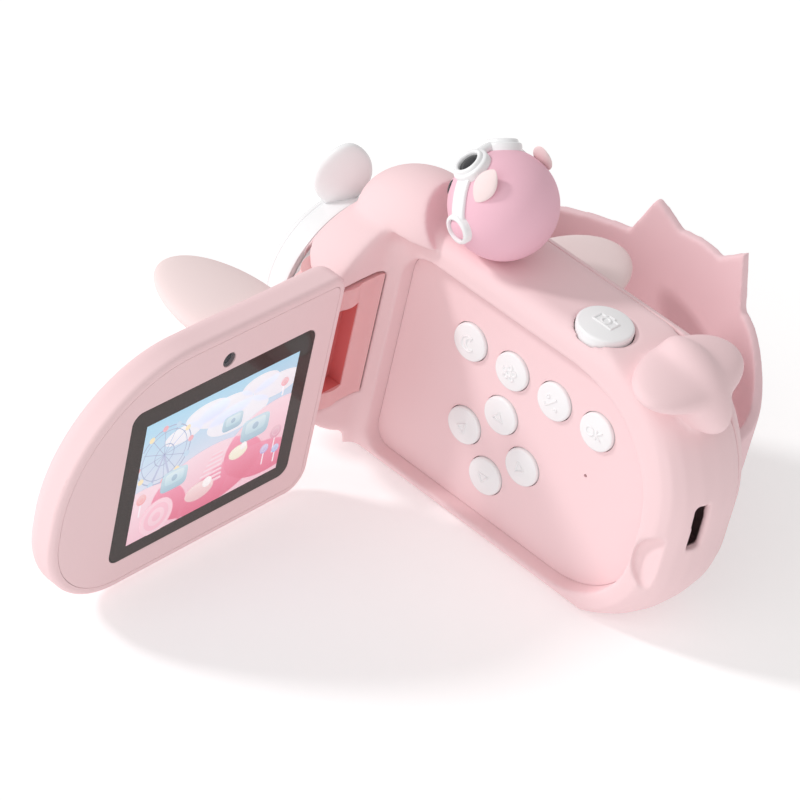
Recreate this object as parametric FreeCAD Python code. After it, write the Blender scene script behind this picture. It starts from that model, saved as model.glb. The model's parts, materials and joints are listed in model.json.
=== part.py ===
import FreeCAD, Part
import math
import os

# Toy camcorder shaped like a small aeroplane, with a flip-out screen.
# Millimetres. X = left side (screen side), Y = rear, Z = up. The lens looks along -Y.
# The origin is on the flat underside, on the camcorder's centre plane.

V = FreeCAD.Vector
AXIS_X = V(1, 0, 0)
AXIS_Y = V(0, 1, 0)
AXIS_Z = V(0, 0, 1)

# ---- body
BODY_HEIGHT = 71.1            # underside to deck
BODY_REAR = 57.8              # rearmost point of the body
BODY_FRONT = -48.0            # front of the body block, inside the nose
BODY_RIGHT = -21.3            # right flank
RIM = 7.8                     # plane of the raised rim round the control panel
BASE_TRIM = 0.8               # how far the rounded body is cut short to give the flat base
WALL = 2.0                    # moulded wall thickness
REAR_BULGE = 10.0             # how far the rear end bows out behind its flanks
TOP_REAR_ROUND = 34.0
BOTTOM_REAR_ROUND = 26.0
FRONT_ROUND = 16.0
SHOULDER_ROUND = 9.0          # rounding along the right flank
RIM_ROUND = 4.5               # rounding along the rim
SPLIT = -15.0                 # parting plane between main housing and right cover

# ---- control panel recess
PANEL = 3.3                   # outer face of the control panel
PANEL_THICK = 1.8
LEDGE = 1.5                   # ledge that the panel sits on
LEDGE_WIDTH = 2.2
PANEL_GAP = 0.1
RECESS_FRONT = -33.9
RECESS_REAR = 46.6
RECESS_BOTTOM = 3.7
RECESS_TOP = 63.4
RECESS_ROUNDS = (29.0, 21.0, 5.0, 8.0)
NOTCH_RADIUS = 8.5            # finger notch in the rear edge of the rim
NOTCH_Y = 55.6
NOTCH_Z = 26.5
NOTCH_DEPTH = 2.2

# ---- nose
LENS_AXIS_Z = 37.9
NOSE_WALL = -37.0             # flat wall that faces the rear, beside the panel
NOSE_RADIUS = 33.6
NOSE_SIDE = 29.2              # flat left side of the nose
NOSE_SIDE_ROUND = 3.6
NOSE_MOUTH_Y = -56.9
NOSE_MOUTH_RADIUS = 21.3
COVE = 4.5                    # hollow round between nose wall and rim

# ---- screen hinge and door
HINGE_X = 20.6
HINGE_Y = -44.1
HINGE_PIN_RADIUS = 2.0
HINGE_FIT = 0.06              # running clearance of the block on the pin
KNUCKLE_RADIUS = 12.8
KNUCKLE_BOTTOM = 19.4
KNUCKLE_TOP = 55.0
KNUCKLE_REACH = 10.5          # how far the knuckle's face reaches inwards from the pin
HINGE_GAP = 0.35
WASHER_THICK = 0.8
PIN_INTO_POST_LOW = 2.6
PIN_INTO_POST_HIGH = 4.0
MOVING_GAP = 0.3
DOOR_CLOSED_GAP = 0.3         # between rim and closed door
DOOR_THICK = 8.7
DOOR_EDGE = 10.0              # hinge axis to the door's hinge edge
DOOR_LENGTH = 86.4
DOOR_BOTTOM = 2.6
DOOR_TOP = 66.6
DOOR_ROUNDS = (36.0, 24.0, 6.6, 4.5)
DOOR_BACK_ROUND = 4.0
BEZEL_INSET = 2.2
BEZEL_THICK = 1.8
BEZEL_GAP = 0.1

# ---- display
SCREEN_WIDE = 48.9
SCREEN_TALL = 35.0
SCREEN_LEFT = 43.2
SCREEN_BOTTOM = 14.5
GLASS_LEFT = 38.8
GLASS_RIGHT = 97.1
GLASS_BOTTOM = 10.8
GLASS_TOP = 54.6
GLASS_THICK = 1.2
SELFIE_X = 68.1
SELFIE_Z = 57.9
SELFIE_RADIUS = 1.9

# ---- keys
USB_X = -1.3
USB_Z = 37.0
USB_HALF_WIDE = 2.1
USB_HALF_TALL = 6.2
KEY_PITCH = 13.3
KEY_RADIUS = 4.9
KEY_CLEARANCE = 0.2
KEY_PROUD = 1.4
KEY_FLANGE = 0.9
KEY_ROW_Y = -13.0
KEY_ROW_Z = 47.2
PAD_Y = 0.34
PAD_Z = 24.6
PAD_RADIUS = 9.35
SHUTTER_Y = 18.9
SHUTTER_X = -0.5
SHUTTER_RADIUS = 6.9
SHUTTER_TAB = 1.0            # how far the retaining tabs stand out
SHUTTER_TAB_HALF = 5.2
SHUTTER_STEM_X = -2.4
SHUTTER_TRAVEL = 1.0

# ---- lens and propeller
PROP_FRONT = -66.2
PROP_LIP_RADIUS = 17.2
PROP_BORE = 14.6
BLADE_TIP = 35.0
BLADE_ROOT = 15.4             # inner end of the blade's oval, buried in the ring
BLADE_WIDTH = 15.0
BLADE_THICK = 4.6
BLADE_TWIST = 28.0
BLADE_Y = -62.6
LENS_BARREL = 5.4

# ---- pilot, wings, tail and strap
HEAD_RADIUS = 13.0
HEAD_Y = -15.7
HEAD_Z = 84.0
WING_TIP = 41.0
WING_CENTRE = 18.0            # widest place of the wing, across the body
WING_Y = -7.5
WING_Z = 60.4
WING_CHORD = 26.0
WING_THICK = 8.0
TAIL_X = -3.4
TAIL_SPAN = 17.4
TAIL_CHORD = 20.0
TAIL_THICK = 9.2
TAIL_Y = 41.6
TAIL_Z = 71.0
STRAP_THICK = 2.7
STRAP_BOTTOM = 24.0
SCREW_RADIUS = 1.5
SCREW_HEAD = 2.6

os.makedirs("parts", exist_ok=True)


# ---------------------------------------------------------------- helpers

def save(shape, name):
    shape.exportStep("parts/" + name + ".step")


def box(low, high):
    size = [high[i] - low[i] for i in range(3)]
    return Part.makeBox(size[0], size[1], size[2], V(*low))


def rod(radius, length, start, along):
    return Part.makeCylinder(radius, length, V(*start), along)


def tube(outer, inner, length, start, along):
    return rod(outer, length, start, along).cut(rod(inner, length, start, along))


def ball(radius, centre):
    return Part.makeSphere(radius, V(*centre))


def ellipsoid(centre, half, turn_axis=None, turn=0.0):
    """An ellipsoid with half lengths along X, Y and Z, turned about its own centre."""
    round_form = Part.makeSphere(1.0)
    stretch = FreeCAD.Matrix()
    stretch.scale(half[0], half[1], half[2])
    form = round_form.transformGeometry(stretch)
    if turn_axis is not None:
        form.rotate(V(0, 0, 0), turn_axis, turn)
    form.translate(V(*centre))
    return form


def rounded_face(front, rear, bottom, top, rounds, plane_x):
    """A rectangle in the YZ plane; rounds = top rear, bottom rear, bottom front, top front."""
    top_rear, bottom_rear, bottom_front, top_front = rounds
    lean = math.sqrt(0.5)
    corners = (
        (rear - top_rear, top - top_rear, top_rear, 1, 1),
        (rear - bottom_rear, bottom + bottom_rear, bottom_rear, 1, -1),
        (front + bottom_front, bottom + bottom_front, bottom_front, -1, -1),
        (front + top_front, top - top_front, top_front, -1, 1),
    )
    edges = []
    ends = []
    for index, (cy, cz, radius, sign_y, sign_z) in enumerate(corners):
        upright = V(plane_x, cy, cz + sign_z * radius)
        flat = V(plane_x, cy + sign_y * radius, cz)
        middle = V(plane_x, cy + sign_y * radius * lean, cz + sign_z * radius * lean)
        start, end = (upright, flat) if index % 2 == 0 else (flat, upright)
        edges.append(Part.Arc(start, middle, end).toShape())
        ends.append((start, end))
    for index in range(4):
        leave = ends[index][1]
        arrive = ends[(index + 1) % 4][0]
        if leave.distanceToPoint(arrive) > 0.001:
            edges.append(Part.LineSegment(leave, arrive).toShape())
    wire = Part.Wire(Part.__sortEdges__(edges))
    return Part.Face(wire)


def flank_block(front, rear, bottom, top, rounds, low_x, high_x):
    face = rounded_face(front, rear, bottom, top, rounds, low_x)
    return face.extrude(V(high_x - low_x, 0, 0))


def end_edges(solid, plane_x):
    """The edges of a block that lie in the plane X = plane_x."""
    found = []
    for edge in solid.Edges:
        box_of_edge = edge.BoundBox
        if abs(box_of_edge.XMin - plane_x) < 0.001 and abs(box_of_edge.XMax - plane_x) < 0.001:
            found.append(edge)
    return found


def to_open(shape):
    """Swing a shape from the closed door's place to the open one, a quarter turn."""
    moved = shape.copy()
    moved.rotate(V(HINGE_X, HINGE_Y, 0), AXIS_Z, -90)
    return moved


def mirror_left_right(shape):
    return shape.mirror(V(0, 0, 0), AXIS_X)


# ---------------------------------------------------------------- outer forms

def rear_at(across, inset):
    """Y of the rear end at a place across the body, from -1 at the right flank to 1 at the rim."""
    fullness = 2.4
    drop = 1.0 - (1.0 - abs(across) ** fullness) ** (1.0 / fullness)
    return BODY_REAR - inset - REAR_BULGE * drop


def body_section(across, inset):
    """The closed side outline of the body at one place across it."""
    middle = (BODY_RIGHT + RIM) / 2
    half = (RIM - BODY_RIGHT) / 2 - inset
    rounds = (TOP_REAR_ROUND - inset, BOTTOM_REAR_ROUND - inset, FRONT_ROUND - inset, FRONT_ROUND - inset)
    face = rounded_face(BODY_FRONT + inset, rear_at(across, inset), inset - BASE_TRIM, BODY_HEIGHT - inset,
                        rounds, middle + half * across)
    return face.OuterWire


def body_form(inset):
    """The body block, or its hollow when inset is the wall thickness."""
    stations = (-1.0, -0.97, -0.88, -0.7, -0.4, 0.0, 0.4, 0.7, 0.88, 0.97, 1.0)
    block = Part.makeLoft([body_section(across, inset) for across in stations], True, True)
    low_x = BODY_RIGHT + inset
    high_x = RIM - inset
    girth = box((low_x, BODY_FRONT - 5, inset), (high_x, BODY_REAR + 5, BODY_HEIGHT - inset))
    girth = girth.makeFillet(SHOULDER_ROUND - inset, long_edges(girth, low_x))
    girth = girth.makeFillet(RIM_ROUND - 0.8 * inset, long_edges(girth, high_x))
    return block.common(girth)


def long_edges(solid, plane_x):
    """The edges that run front to rear in the plane X = plane_x."""
    return [edge for edge in end_edges(solid, plane_x) if edge.BoundBox.YLength > 50]


def nose_form(inset):
    """The round nose, with its long fairing down the right flank."""
    wide = NOSE_RADIUS - inset
    mouth = NOSE_MOUTH_RADIUS - inset
    half_way = V(NOSE_RADIUS - 4.6 - inset, -49.5, 0)
    front = V(mouth, NOSE_MOUTH_Y - 0.01 * inset, 0)
    widest = V(wide, NOSE_WALL, 0)
    dome = Part.Arc(front, half_way, widest).toShape()
    rear = V(6.0, -2.0 - inset, 0)
    fairing = Part.Arc(widest, V(wide - 6.6, -17.0 - inset, 0), rear)
    outline = Part.Wire([
        Part.LineSegment(V(0, front.y, 0), front).toShape(),
        dome,
        fairing.toShape(),
        Part.LineSegment(rear, V(0, rear.y, 0)).toShape(),
        Part.LineSegment(V(0, rear.y, 0), V(0, front.y, 0)).toShape(),
    ])
    solid = Part.Face(outline).revolve(V(0, 0, 0), AXIS_Y, 360)
    solid.translate(V(0, 0, LENS_AXIS_Z))
    beyond_rim = box((RIM - inset, NOSE_WALL - inset, -20), (60, 60, 120))
    left_side = box((NOSE_SIDE - inset, -90, -20), (60, 60, 120))
    solid = solid.cut(beyond_rim).cut(left_side)
    if inset == 0:
        solid = solid.cut(nose_corner())
    return solid


def nose_corner():
    """What is taken off where the nose's side and its rear wall meet, to round that corner."""
    radius = NOSE_SIDE_ROUND
    centre = (NOSE_SIDE - radius, NOSE_WALL - radius, -20)
    block = box(centre, (NOSE_SIDE + 1, NOSE_WALL + 1, 120))
    return block.cut(rod(radius, 140, centre, AXIS_Z))


def cove_form():
    """The hollow round that joins the nose's rear wall to the rim."""
    low = (RIM - 1, NOSE_WALL - 1, RECESS_BOTTOM - 1)
    high = (RIM + COVE, NOSE_WALL + COVE, RECESS_TOP + 1.5)
    centre = (RIM + COVE, NOSE_WALL + COVE, 0)
    return box(low, high).cut(rod(COVE, 100, centre, AXIS_Z))


def cowl_form():
    """The raised lip of the cockpit, in front of the pilot, hollowed on the pilot's side."""
    lip = ellipsoid((0, HEAD_Y - 21.8, BODY_HEIGHT - 4.8), (13.0, 17.0, 13.0), AXIS_X, 18)
    scoop = ball(HEAD_RADIUS + 11.0, (0, HEAD_Y + 6.2, HEAD_Z))
    door_way = box((RIM, NOSE_WALL, 0), (2 * HEAD_RADIUS, 0, BODY_HEIGHT - 3.0))
    return lip.cut(scoop).cut(door_way)


def tail_form():
    lobes = ellipsoid((TAIL_X, TAIL_Y, TAIL_Z), (TAIL_SPAN, TAIL_CHORD / 2, TAIL_THICK / 2), AXIS_X, -8)
    ridge = ellipsoid((TAIL_X, TAIL_Y + 2.4, TAIL_Z - 1.4), (6.6, 12.5, 7.0), AXIS_X, -34)
    return lobes.fuse(ridge)


def knuckle_zone(radius, extra):
    """The round space about the hinge axis that the knuckle turns in."""
    return rod(radius, KNUCKLE_TOP - KNUCKLE_BOTTOM + 2 * extra,
               (HINGE_X, HINGE_Y, KNUCKLE_BOTTOM - extra), AXIS_Z)


def recess_block(shrink, low_x, high_x):
    rounds = tuple(radius - shrink for radius in RECESS_ROUNDS)
    return flank_block(RECESS_FRONT + shrink, RECESS_REAR - shrink, RECESS_BOTTOM + shrink,
                       RECESS_TOP - shrink, rounds, low_x, high_x)


def outer_form():
    form = body_form(0).fuse(nose_form(0))
    form = form.fuse(cove_form())
    return form.fuse(cowl_form()).fuse(tail_form())


# ---------------------------------------------------------------- housing

SCREW_SPOTS = ((-36.0, 12.0), (-36.0, 60.0), (47.5, 14.0), (45.0, 52.0))


def hinge_bosses():
    """Two posts that hold the hinge pin, above and below the knuckle."""
    step = HINGE_GAP + WASHER_THICK
    low = rod(4.6, 6.0, (HINGE_X, HINGE_Y, KNUCKLE_BOTTOM - step - 6.0), AXIS_Z)
    high = rod(4.6, 5.2, (HINGE_X, HINGE_Y, KNUCKLE_TOP + step), AXIS_Z)
    return low.fuse(high)


def screw_bosses():
    posts = None
    for y, z in SCREW_SPOTS:
        post = rod(3.0, 0.5 - SPLIT, (SPLIT, y, z), AXIS_X).cut(rod(SCREW_RADIUS, 11.0, (SPLIT, y, z), AXIS_X))
        posts = post if posts is None else posts.fuse(post)
    return posts


def whole_shell():
    """The closed skin of body and nose, before it is parted in two."""
    outer = outer_form()
    beside_panel = box((0, NOSE_WALL - WALL, -5), (60, 80, 90))
    hollow = body_form(WALL).fuse(nose_form(WALL)).cut(beside_panel)
    mouth = rod(NOSE_MOUTH_RADIUS - WALL, 8.0, (0, NOSE_MOUTH_Y - 4.0, LENS_AXIS_Z), AXIS_Y)
    shell = outer.cut(hollow).cut(mouth)
    kept_bosses = hinge_bosses().fuse(screw_bosses()).common(outer)
    shell = shell.fuse(kept_bosses)
    shell = shell.cut(recess_block(0, LEDGE, RIM + COVE + 1))
    shell = shell.cut(recess_block(LEDGE_WIDTH, -1, LEDGE + 1))
    shell = shell.cut(knuckle_zone(KNUCKLE_RADIUS + HINGE_GAP, HINGE_GAP))
    shell = shell.cut(hinge_pin()).cut(hinge_washers()).cut(shutter_well())
    shell = shell.cut(usb_opening()).cut(usb_pocket()).cut(card_slot())
    notch = rod(NOTCH_RADIUS, 10, (RIM - NOTCH_DEPTH, NOTCH_Y, NOTCH_Z), AXIS_X)
    return shell.cut(speaker_holes()).cut(notch)


def shutter_well():
    """The hole in the deck for the shutter button, with room below it for the two tabs."""
    deep = KEY_CLEARANCE + SHUTTER_TAB
    hole = rod(SHUTTER_RADIUS + KEY_CLEARANCE, 8, (SHUTTER_X, SHUTTER_Y, BODY_HEIGHT - WALL - 2), AXIS_Z)
    floor = BODY_HEIGHT - WALL - SHUTTER_TRAVEL - 2 * MOVING_GAP - 1.4
    room = rod(SHUTTER_RADIUS + deep, BODY_HEIGHT - WALL - floor, (SHUTTER_X, SHUTTER_Y, floor), AXIS_Z)
    half = SHUTTER_TAB_HALF + KEY_CLEARANCE
    room = room.common(box((SHUTTER_X - half, SHUTTER_Y - 20, 0), (SHUTTER_X + half, SHUTTER_Y + 20, 100)))
    return hole.fuse(room)


def usb_opening():
    """The upright slot of the charging socket, in the rear end, with small round corners."""
    opening = box((USB_X - USB_HALF_WIDE, BODY_REAR - 8.0, USB_Z - USB_HALF_TALL),
                  (USB_X + USB_HALF_WIDE, BODY_REAR + 2.0, USB_Z + USB_HALF_TALL))
    corners = [edge for edge in opening.Edges if edge.BoundBox.YLength > 5]
    return opening.makeFillet(0.6, corners)


def usb_pocket():
    """Room for the charging socket in the wall beside the control panel."""
    return box((-1, 35.0, USB_Z - 5.0), (0.8, BODY_REAR - 5.0, USB_Z + 5.0))


def card_slot():
    return box((-14.0, 8.0, -1.0), (-11.6, 20.5, WALL + 1.0))


def speaker_holes():
    """A ring of small holes in the underside, below the speaker."""
    holes = rod(0.8, WALL + 2, (SPEAKER_X, SPEAKER_Y, -1.0), AXIS_Z)
    for index in range(6):
        angle = math.radians(60 * index)
        spot = (SPEAKER_X + 4.0 * math.cos(angle), SPEAKER_Y + 4.0 * math.sin(angle), -1.0)
        holes = holes.fuse(rod(0.8, WALL + 2, spot, AXIS_Z))
    return holes


def main_housing(shell):
    left = box((SPLIT, -90, -10), (60, 90, 130))
    housing = shell.common(left)
    right_half_tail = tail_form().cut(box((SPLIT, -90, -10), (60, 90, 130)))
    return housing.fuse(right_half_tail.cut(body_form(0)))


def right_cover(shell):
    cover = shell.common(box((-60, -90, -10), (SPLIT, 90, 130)))
    cover = cover.cut(tail_form())
    for y, z in SCREW_SPOTS:
        cover = cover.fuse(rod(4.0, 6.0, (SPLIT - 6.0, y, z), AXIS_X).common(outer_form()))
        cover = cover.cut(rod(SCREW_RADIUS, 30, (SPLIT - 30, y, z), AXIS_X))
        cover = cover.cut(rod(SCREW_HEAD + 0.1, 30, (SPLIT - 34, y, z), AXIS_X))
    return cover


def housing_screws():
    screws = []
    for y, z in SCREW_SPOTS:
        shank = rod(SCREW_RADIUS - 0.02, 12.5, (SPLIT - 4.0, y, z), AXIS_X)
        head = rod(SCREW_HEAD, 1.6, (SPLIT - 5.6, y, z), AXIS_X)
        cross = box((SPLIT - 6, y - 1.6, z - 0.25), (SPLIT - 5, y + 1.6, z + 0.25))
        cross = cross.fuse(box((SPLIT - 6, y - 0.25, z - 1.6), (SPLIT - 5, y + 0.25, z + 1.6)))
        screws.append(shank.fuse(head).cut(cross))
    return Part.makeCompound(screws)


# ---------------------------------------------------------------- control panel and keys

def key_places():
    """Name, Y and Z of each of the eight keys: a row of four over a ring of four."""
    names = ("power_key", "effects_key", "edit_key", "ok_key")
    places = [(name, KEY_ROW_Y + KEY_PITCH * index, KEY_ROW_Z) for index, name in enumerate(names)]
    ring = (("left_key", -1, 0), ("up_key", 0, 1), ("down_key", 0, -1), ("right_key", 1, 0))
    for name, step_y, step_z in ring:
        places.append((name, PAD_Y + PAD_RADIUS * step_y, PAD_Z + PAD_RADIUS * step_z))
    return places


def control_panel():
    panel = recess_block(PANEL_GAP, PANEL - PANEL_THICK, PANEL)
    for _, y, z in key_places():
        panel = panel.cut(rod(KEY_RADIUS + KEY_CLEARANCE, 8, (PANEL - 5, y, z), AXIS_X))
    pinhole = rod(0.45, 8, (PANEL - 5, KEY_ROW_Y + 3 * KEY_PITCH, KEY_ROW_Z - KEY_PITCH), AXIS_X)
    return panel.cut(pinhole)


def key_cap(y, z):
    """A round key: crowned head, flange behind the panel and a stem for the dome switch."""
    back = PANEL - PANEL_THICK - MOVING_GAP
    head = rod(KEY_RADIUS, PANEL + KEY_PROUD - back, (back, y, z), AXIS_X)
    crown = ball(20.0, (PANEL + KEY_PROUD - 20.0, y, z))
    head = head.common(crown)
    flange = rod(KEY_RADIUS + KEY_FLANGE, 0.8, (back - 0.8, y, z), AXIS_X)
    stem = rod(1.6, 1.4, (back - 2.2, y, z), AXIS_X)
    return head.fuse(flange).fuse(stem).removeSplitter()


def shutter_button():
    """The round shutter button: crowned cap, two retaining tabs and an off-centre stem."""
    back = BODY_HEIGHT - WALL - MOVING_GAP
    cap = rod(SHUTTER_RADIUS, 3.9, (SHUTTER_X, SHUTTER_Y, back), AXIS_Z)
    cap = cap.common(ball(30.0, (SHUTTER_X, SHUTTER_Y, back + 3.9 - 30.0)))
    tabs = rod(SHUTTER_RADIUS + SHUTTER_TAB, 0.9, (SHUTTER_X, SHUTTER_Y, back - 0.9), AXIS_Z)
    tabs = tabs.common(box((SHUTTER_X - SHUTTER_TAB_HALF, SHUTTER_Y - 20, 0),
                           (SHUTTER_X + SHUTTER_TAB_HALF, SHUTTER_Y + 20, 100)))
    stem = rod(1.5, 3.0, (SHUTTER_STEM_X, SHUTTER_Y, back - 3.9), AXIS_Z)
    return cap.fuse(tabs).fuse(stem).removeSplitter()


# ---------------------------------------------------------------- inside the body

BOARD_X = -4.6                # left face of the main board
BOARD_THICK = 1.2
MAT_THICK = 0.7
SPEAKER_X = -8.2
SPEAKER_Y = -14.0


def main_board():
    low = (BOARD_X - BOARD_THICK, -30.0, 6.5)
    return box(low, (BOARD_X, 40.0, 58.0))


def key_mat():
    """The rubber sheet of switch domes, one under each key."""
    mat = box((BOARD_X, -23.0, 10.0), (BOARD_X + MAT_THICK, 31.0, 54.0))
    for _, y, z in key_places():
        mat = mat.fuse(rod(2.6, 1.2, (BOARD_X + MAT_THICK, y, z), AXIS_X))
    return mat


def battery():
    return box((BOARD_X - 9.0, -20.0, 22.0), (BOARD_X - 2.2, 28.0, 54.0))


def speaker():
    frame = rod(7.2, 3.2, (SPEAKER_X, SPEAKER_Y, 2.9), AXIS_Z)
    return frame.fuse(rod(4.6, 1.6, (SPEAKER_X, SPEAKER_Y, 6.1), AXIS_Z)).cut(main_board())


def microphone():
    spot = (PANEL - PANEL_THICK - 2.6, KEY_ROW_Y + 3 * KEY_PITCH, KEY_ROW_Z - KEY_PITCH)
    return rod(2.0, 2.0, spot, AXIS_X)


def usb_socket():
    shell = box((BOARD_X, 36.0, USB_Z - 4.5), (0.4, BODY_REAR - 6.0, USB_Z + 4.5))
    mouth = box((USB_X - 1.3, 46.0, USB_Z - 4.1), (USB_X + 1.3, BODY_REAR, USB_Z + 4.1))
    tongue = box((USB_X - 0.35, 45.9, USB_Z - 3.2), (USB_X + 0.35, BODY_REAR - 6.6, USB_Z + 3.2))
    return shell.cut(mouth).fuse(tongue)


def card_socket():
    body = box((-14.4, 7.2, WALL + 1.3), (-11.2, 21.3, 16.0))
    return body.cut(box((-13.5, 8.6, 0), (-12.1, 19.9, 13.0)))


def shutter_switch():
    """The small switch on the main board's top edge, under the shutter button's stem."""
    top = BODY_HEIGHT - WALL - MOVING_GAP - 3.9 - SHUTTER_TRAVEL - MOVING_GAP
    base = box((BOARD_X - BOARD_THICK, SHUTTER_Y - 3.0, 58.0), (-0.4, SHUTTER_Y + 3.0, top - 0.8))
    return base.fuse(rod(1.4, 0.8, (SHUTTER_STEM_X, SHUTTER_Y, top - 0.8), AXIS_Z))


# ---------------------------------------------------------------- lens and propeller

def blade(angle):
    """One petal blade, standing out from the ring; angle 0 points straight up."""
    length = (BLADE_TIP - BLADE_ROOT) / 2
    petal = ellipsoid((0, BLADE_Y, BLADE_TIP - length), (BLADE_WIDTH / 2, BLADE_THICK / 2, length),
                      AXIS_Z, -BLADE_TWIST)
    petal.rotate(V(0, 0, 0), AXIS_Y, angle)
    petal.translate(V(0, 0, LENS_AXIS_Z))
    return petal


def propeller():
    """The white ring round the lens with three blades, free to spin about the lens axis."""
    start = NOSE_MOUTH_Y - MOVING_GAP
    cone = Part.makeCone(PROP_LIP_RADIUS, NOSE_MOUTH_RADIUS - 0.2, start - PROP_FRONT,
                         V(0, PROP_FRONT, LENS_AXIS_Z), AXIS_Y)
    ring = cone
    for index in range(3):
        ring = ring.fuse(blade(120 * index))
    ring = ring.cut(rod(PROP_BORE, 40, (0, PROP_FRONT - 10, LENS_AXIS_Z), AXIS_Y))
    seat = rod(PROP_BORE + 1.2 + MOVING_GAP, 1.0 + MOVING_GAP, (0, PROP_FRONT - 0.4, LENS_AXIS_Z), AXIS_Y)
    return ring.cut(seat)


def lens_barrel():
    """The fixed barrel that the propeller ring runs on, closing the nose's mouth."""
    radius = PROP_BORE - 0.08
    inner = 11.6
    barrel = tube(radius, inner, NOSE_MOUTH_Y - PROP_FRONT + 0.5, (0, PROP_FRONT + 0.5, LENS_AXIS_Z), AXIS_Y)
    flange = tube(NOSE_MOUTH_RADIUS - WALL, inner, 1.6, (0, NOSE_MOUTH_Y, LENS_AXIS_Z), AXIS_Y)
    lip = tube(PROP_BORE + 1.2, inner, 0.9, (0, PROP_FRONT - 0.3, LENS_AXIS_Z), AXIS_Y)
    front = tube(radius, inner, 1.3, (0, PROP_FRONT - 0.3, LENS_AXIS_Z), AXIS_Y)
    return barrel.fuse(flange).fuse(front).fuse(lip).removeSplitter()


def lens_bezel():
    """The black stepped cone between the barrel and the lens opening."""
    start = PROP_FRONT + 2.4
    outer = rod(11.6, 3.4, (0, start, LENS_AXIS_Z), AXIS_Y)
    hollow = Part.makeCone(10.4, 6.0, 2.0, V(0, start, LENS_AXIS_Z), AXIS_Y)
    return outer.cut(hollow).cut(rod(4.2, 10, (0, start - 1, LENS_AXIS_Z), AXIS_Y))


def lens_glass():
    return rod(10.9, 0.9, (0, PROP_FRONT + 1.2, LENS_AXIS_Z), AXIS_Y)


def camera_module():
    start = PROP_FRONT + 5.8
    barrel = rod(LENS_BARREL, 9.0, (0, start, LENS_AXIS_Z), AXIS_Y)
    barrel = barrel.fuse(rod(11.4, 1.2, (0, start, LENS_AXIS_Z), AXIS_Y))
    barrel = barrel.cut(Part.makeCone(3.6, 2.2, 2.5, V(0, start, LENS_AXIS_Z), AXIS_Y))
    base = box((-5.2, start + 9.0, LENS_AXIS_Z - 6.0), (5.2, start + 11.0, LENS_AXIS_Z + 6.0))
    return barrel.fuse(base)


# ---------------------------------------------------------------- screen door

def door_block(shrink, face_depth, back_depth):
    """A slab with the door's outline, in the closed place; depths run out from the door's face."""
    front = HINGE_Y + DOOR_EDGE
    rounds = tuple(radius - shrink for radius in DOOR_ROUNDS)
    face_x = RIM + DOOR_CLOSED_GAP
    return flank_block(front + shrink, front + DOOR_LENGTH - shrink, DOOR_BOTTOM + shrink,
                       DOOR_TOP - shrink, rounds, face_x + face_depth, face_x + back_depth)


def door_back():
    outer = door_block(0, 0, DOOR_THICK)
    face_x = RIM + DOOR_CLOSED_GAP
    outer = outer.makeFillet(DOOR_BACK_ROUND, end_edges(outer, face_x + DOOR_THICK))
    outer = outer.makeFillet(1.4, end_edges(outer, face_x))
    shell = outer.cut(door_block(BEZEL_INSET, -1, DOOR_THICK - WALL))
    posts = None
    for y, z in DOOR_SCREWS:
        post = rod(2.4, DOOR_THICK - WALL - BEZEL_THICK, (face_x + BEZEL_THICK, y, z), AXIS_X)
        post = post.cut(rod(1.0, 4.6, (face_x + BEZEL_THICK, y, z), AXIS_X))
        posts = post if posts is None else posts.fuse(post)
    shell = to_open(shell.fuse(posts))
    return shell.cut(hinge_arms(0.1))


DOOR_SCREWS = ((-28.0, 7.6), (-28.0, 61.2), (20.0, 60.6), (36.5, 16.0))


def door_screws():
    screws = []
    face_x = RIM + DOOR_CLOSED_GAP
    for y, z in DOOR_SCREWS:
        head = rod(1.7, 0.9, (face_x + BEZEL_THICK - 0.9, y, z), AXIS_X)
        shank = rod(0.98, 4.3, (face_x + BEZEL_THICK, y, z), AXIS_X)
        screws.append(head.fuse(shank))
    return to_open(Part.makeCompound(screws))


def door_bezel():
    """The pink frame round the screen glass, set into the door's back shell."""
    plate = to_open(door_block(BEZEL_INSET + BEZEL_GAP, 0, BEZEL_THICK))
    glass = glass_block(-1, BEZEL_THICK + 1, BEZEL_GAP)
    plate = plate.cut(glass).cut(selfie_rod(SELFIE_RADIUS + 0.1, -1, 4))
    face_x = RIM + DOOR_CLOSED_GAP
    for y, z in DOOR_SCREWS:
        seat = rod(1.8, 1.0, (face_x + BEZEL_THICK - 0.9, y, z), AXIS_X)
        plate = plate.cut(to_open(seat))
    return plate


def open_face_y():
    """Y of the door's face when the door stands open."""
    return HINGE_Y - (RIM + DOOR_CLOSED_GAP - HINGE_X)


def glass_block(front_depth, back_depth, grow):
    """A slab behind the door's open face with the outline of the screen glass."""
    face_y = open_face_y()
    low = (GLASS_LEFT - grow, face_y - back_depth, GLASS_BOTTOM - grow)
    high = (GLASS_RIGHT + grow, face_y - front_depth, GLASS_TOP + grow)
    slab = box(low, high)
    upright = [edge for edge in slab.Edges if edge.BoundBox.YLength > 0.5 * (back_depth - front_depth)]
    return slab.makeFillet(3.0, upright)


def selfie_rod(radius, front_depth, back_depth):
    return rod(radius, back_depth - front_depth, (SELFIE_X, open_face_y() - back_depth, SELFIE_Z), AXIS_Y)


def display_glass():
    return glass_block(0, GLASS_THICK, 0)


def display_module():
    face_y = open_face_y() - GLASS_THICK
    low = (SCREEN_LEFT - 3.0, face_y - 3.0, SCREEN_BOTTOM - 2.4)
    return box(low, (SCREEN_LEFT + SCREEN_WIDE + 3.0, face_y, SCREEN_BOTTOM + SCREEN_TALL + 3.0))


def selfie_window():
    return selfie_rod(SELFIE_RADIUS, 0.25, 0.9)


def selfie_camera():
    face_y = open_face_y()
    body = box((SELFIE_X - 3.0, face_y - 5.2, SELFIE_Z - 2.6), (SELFIE_X + 3.0, face_y - 2.2, SELFIE_Z + 3.4))
    return body.fuse(selfie_rod(1.5, 0.9, 2.2))


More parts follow.
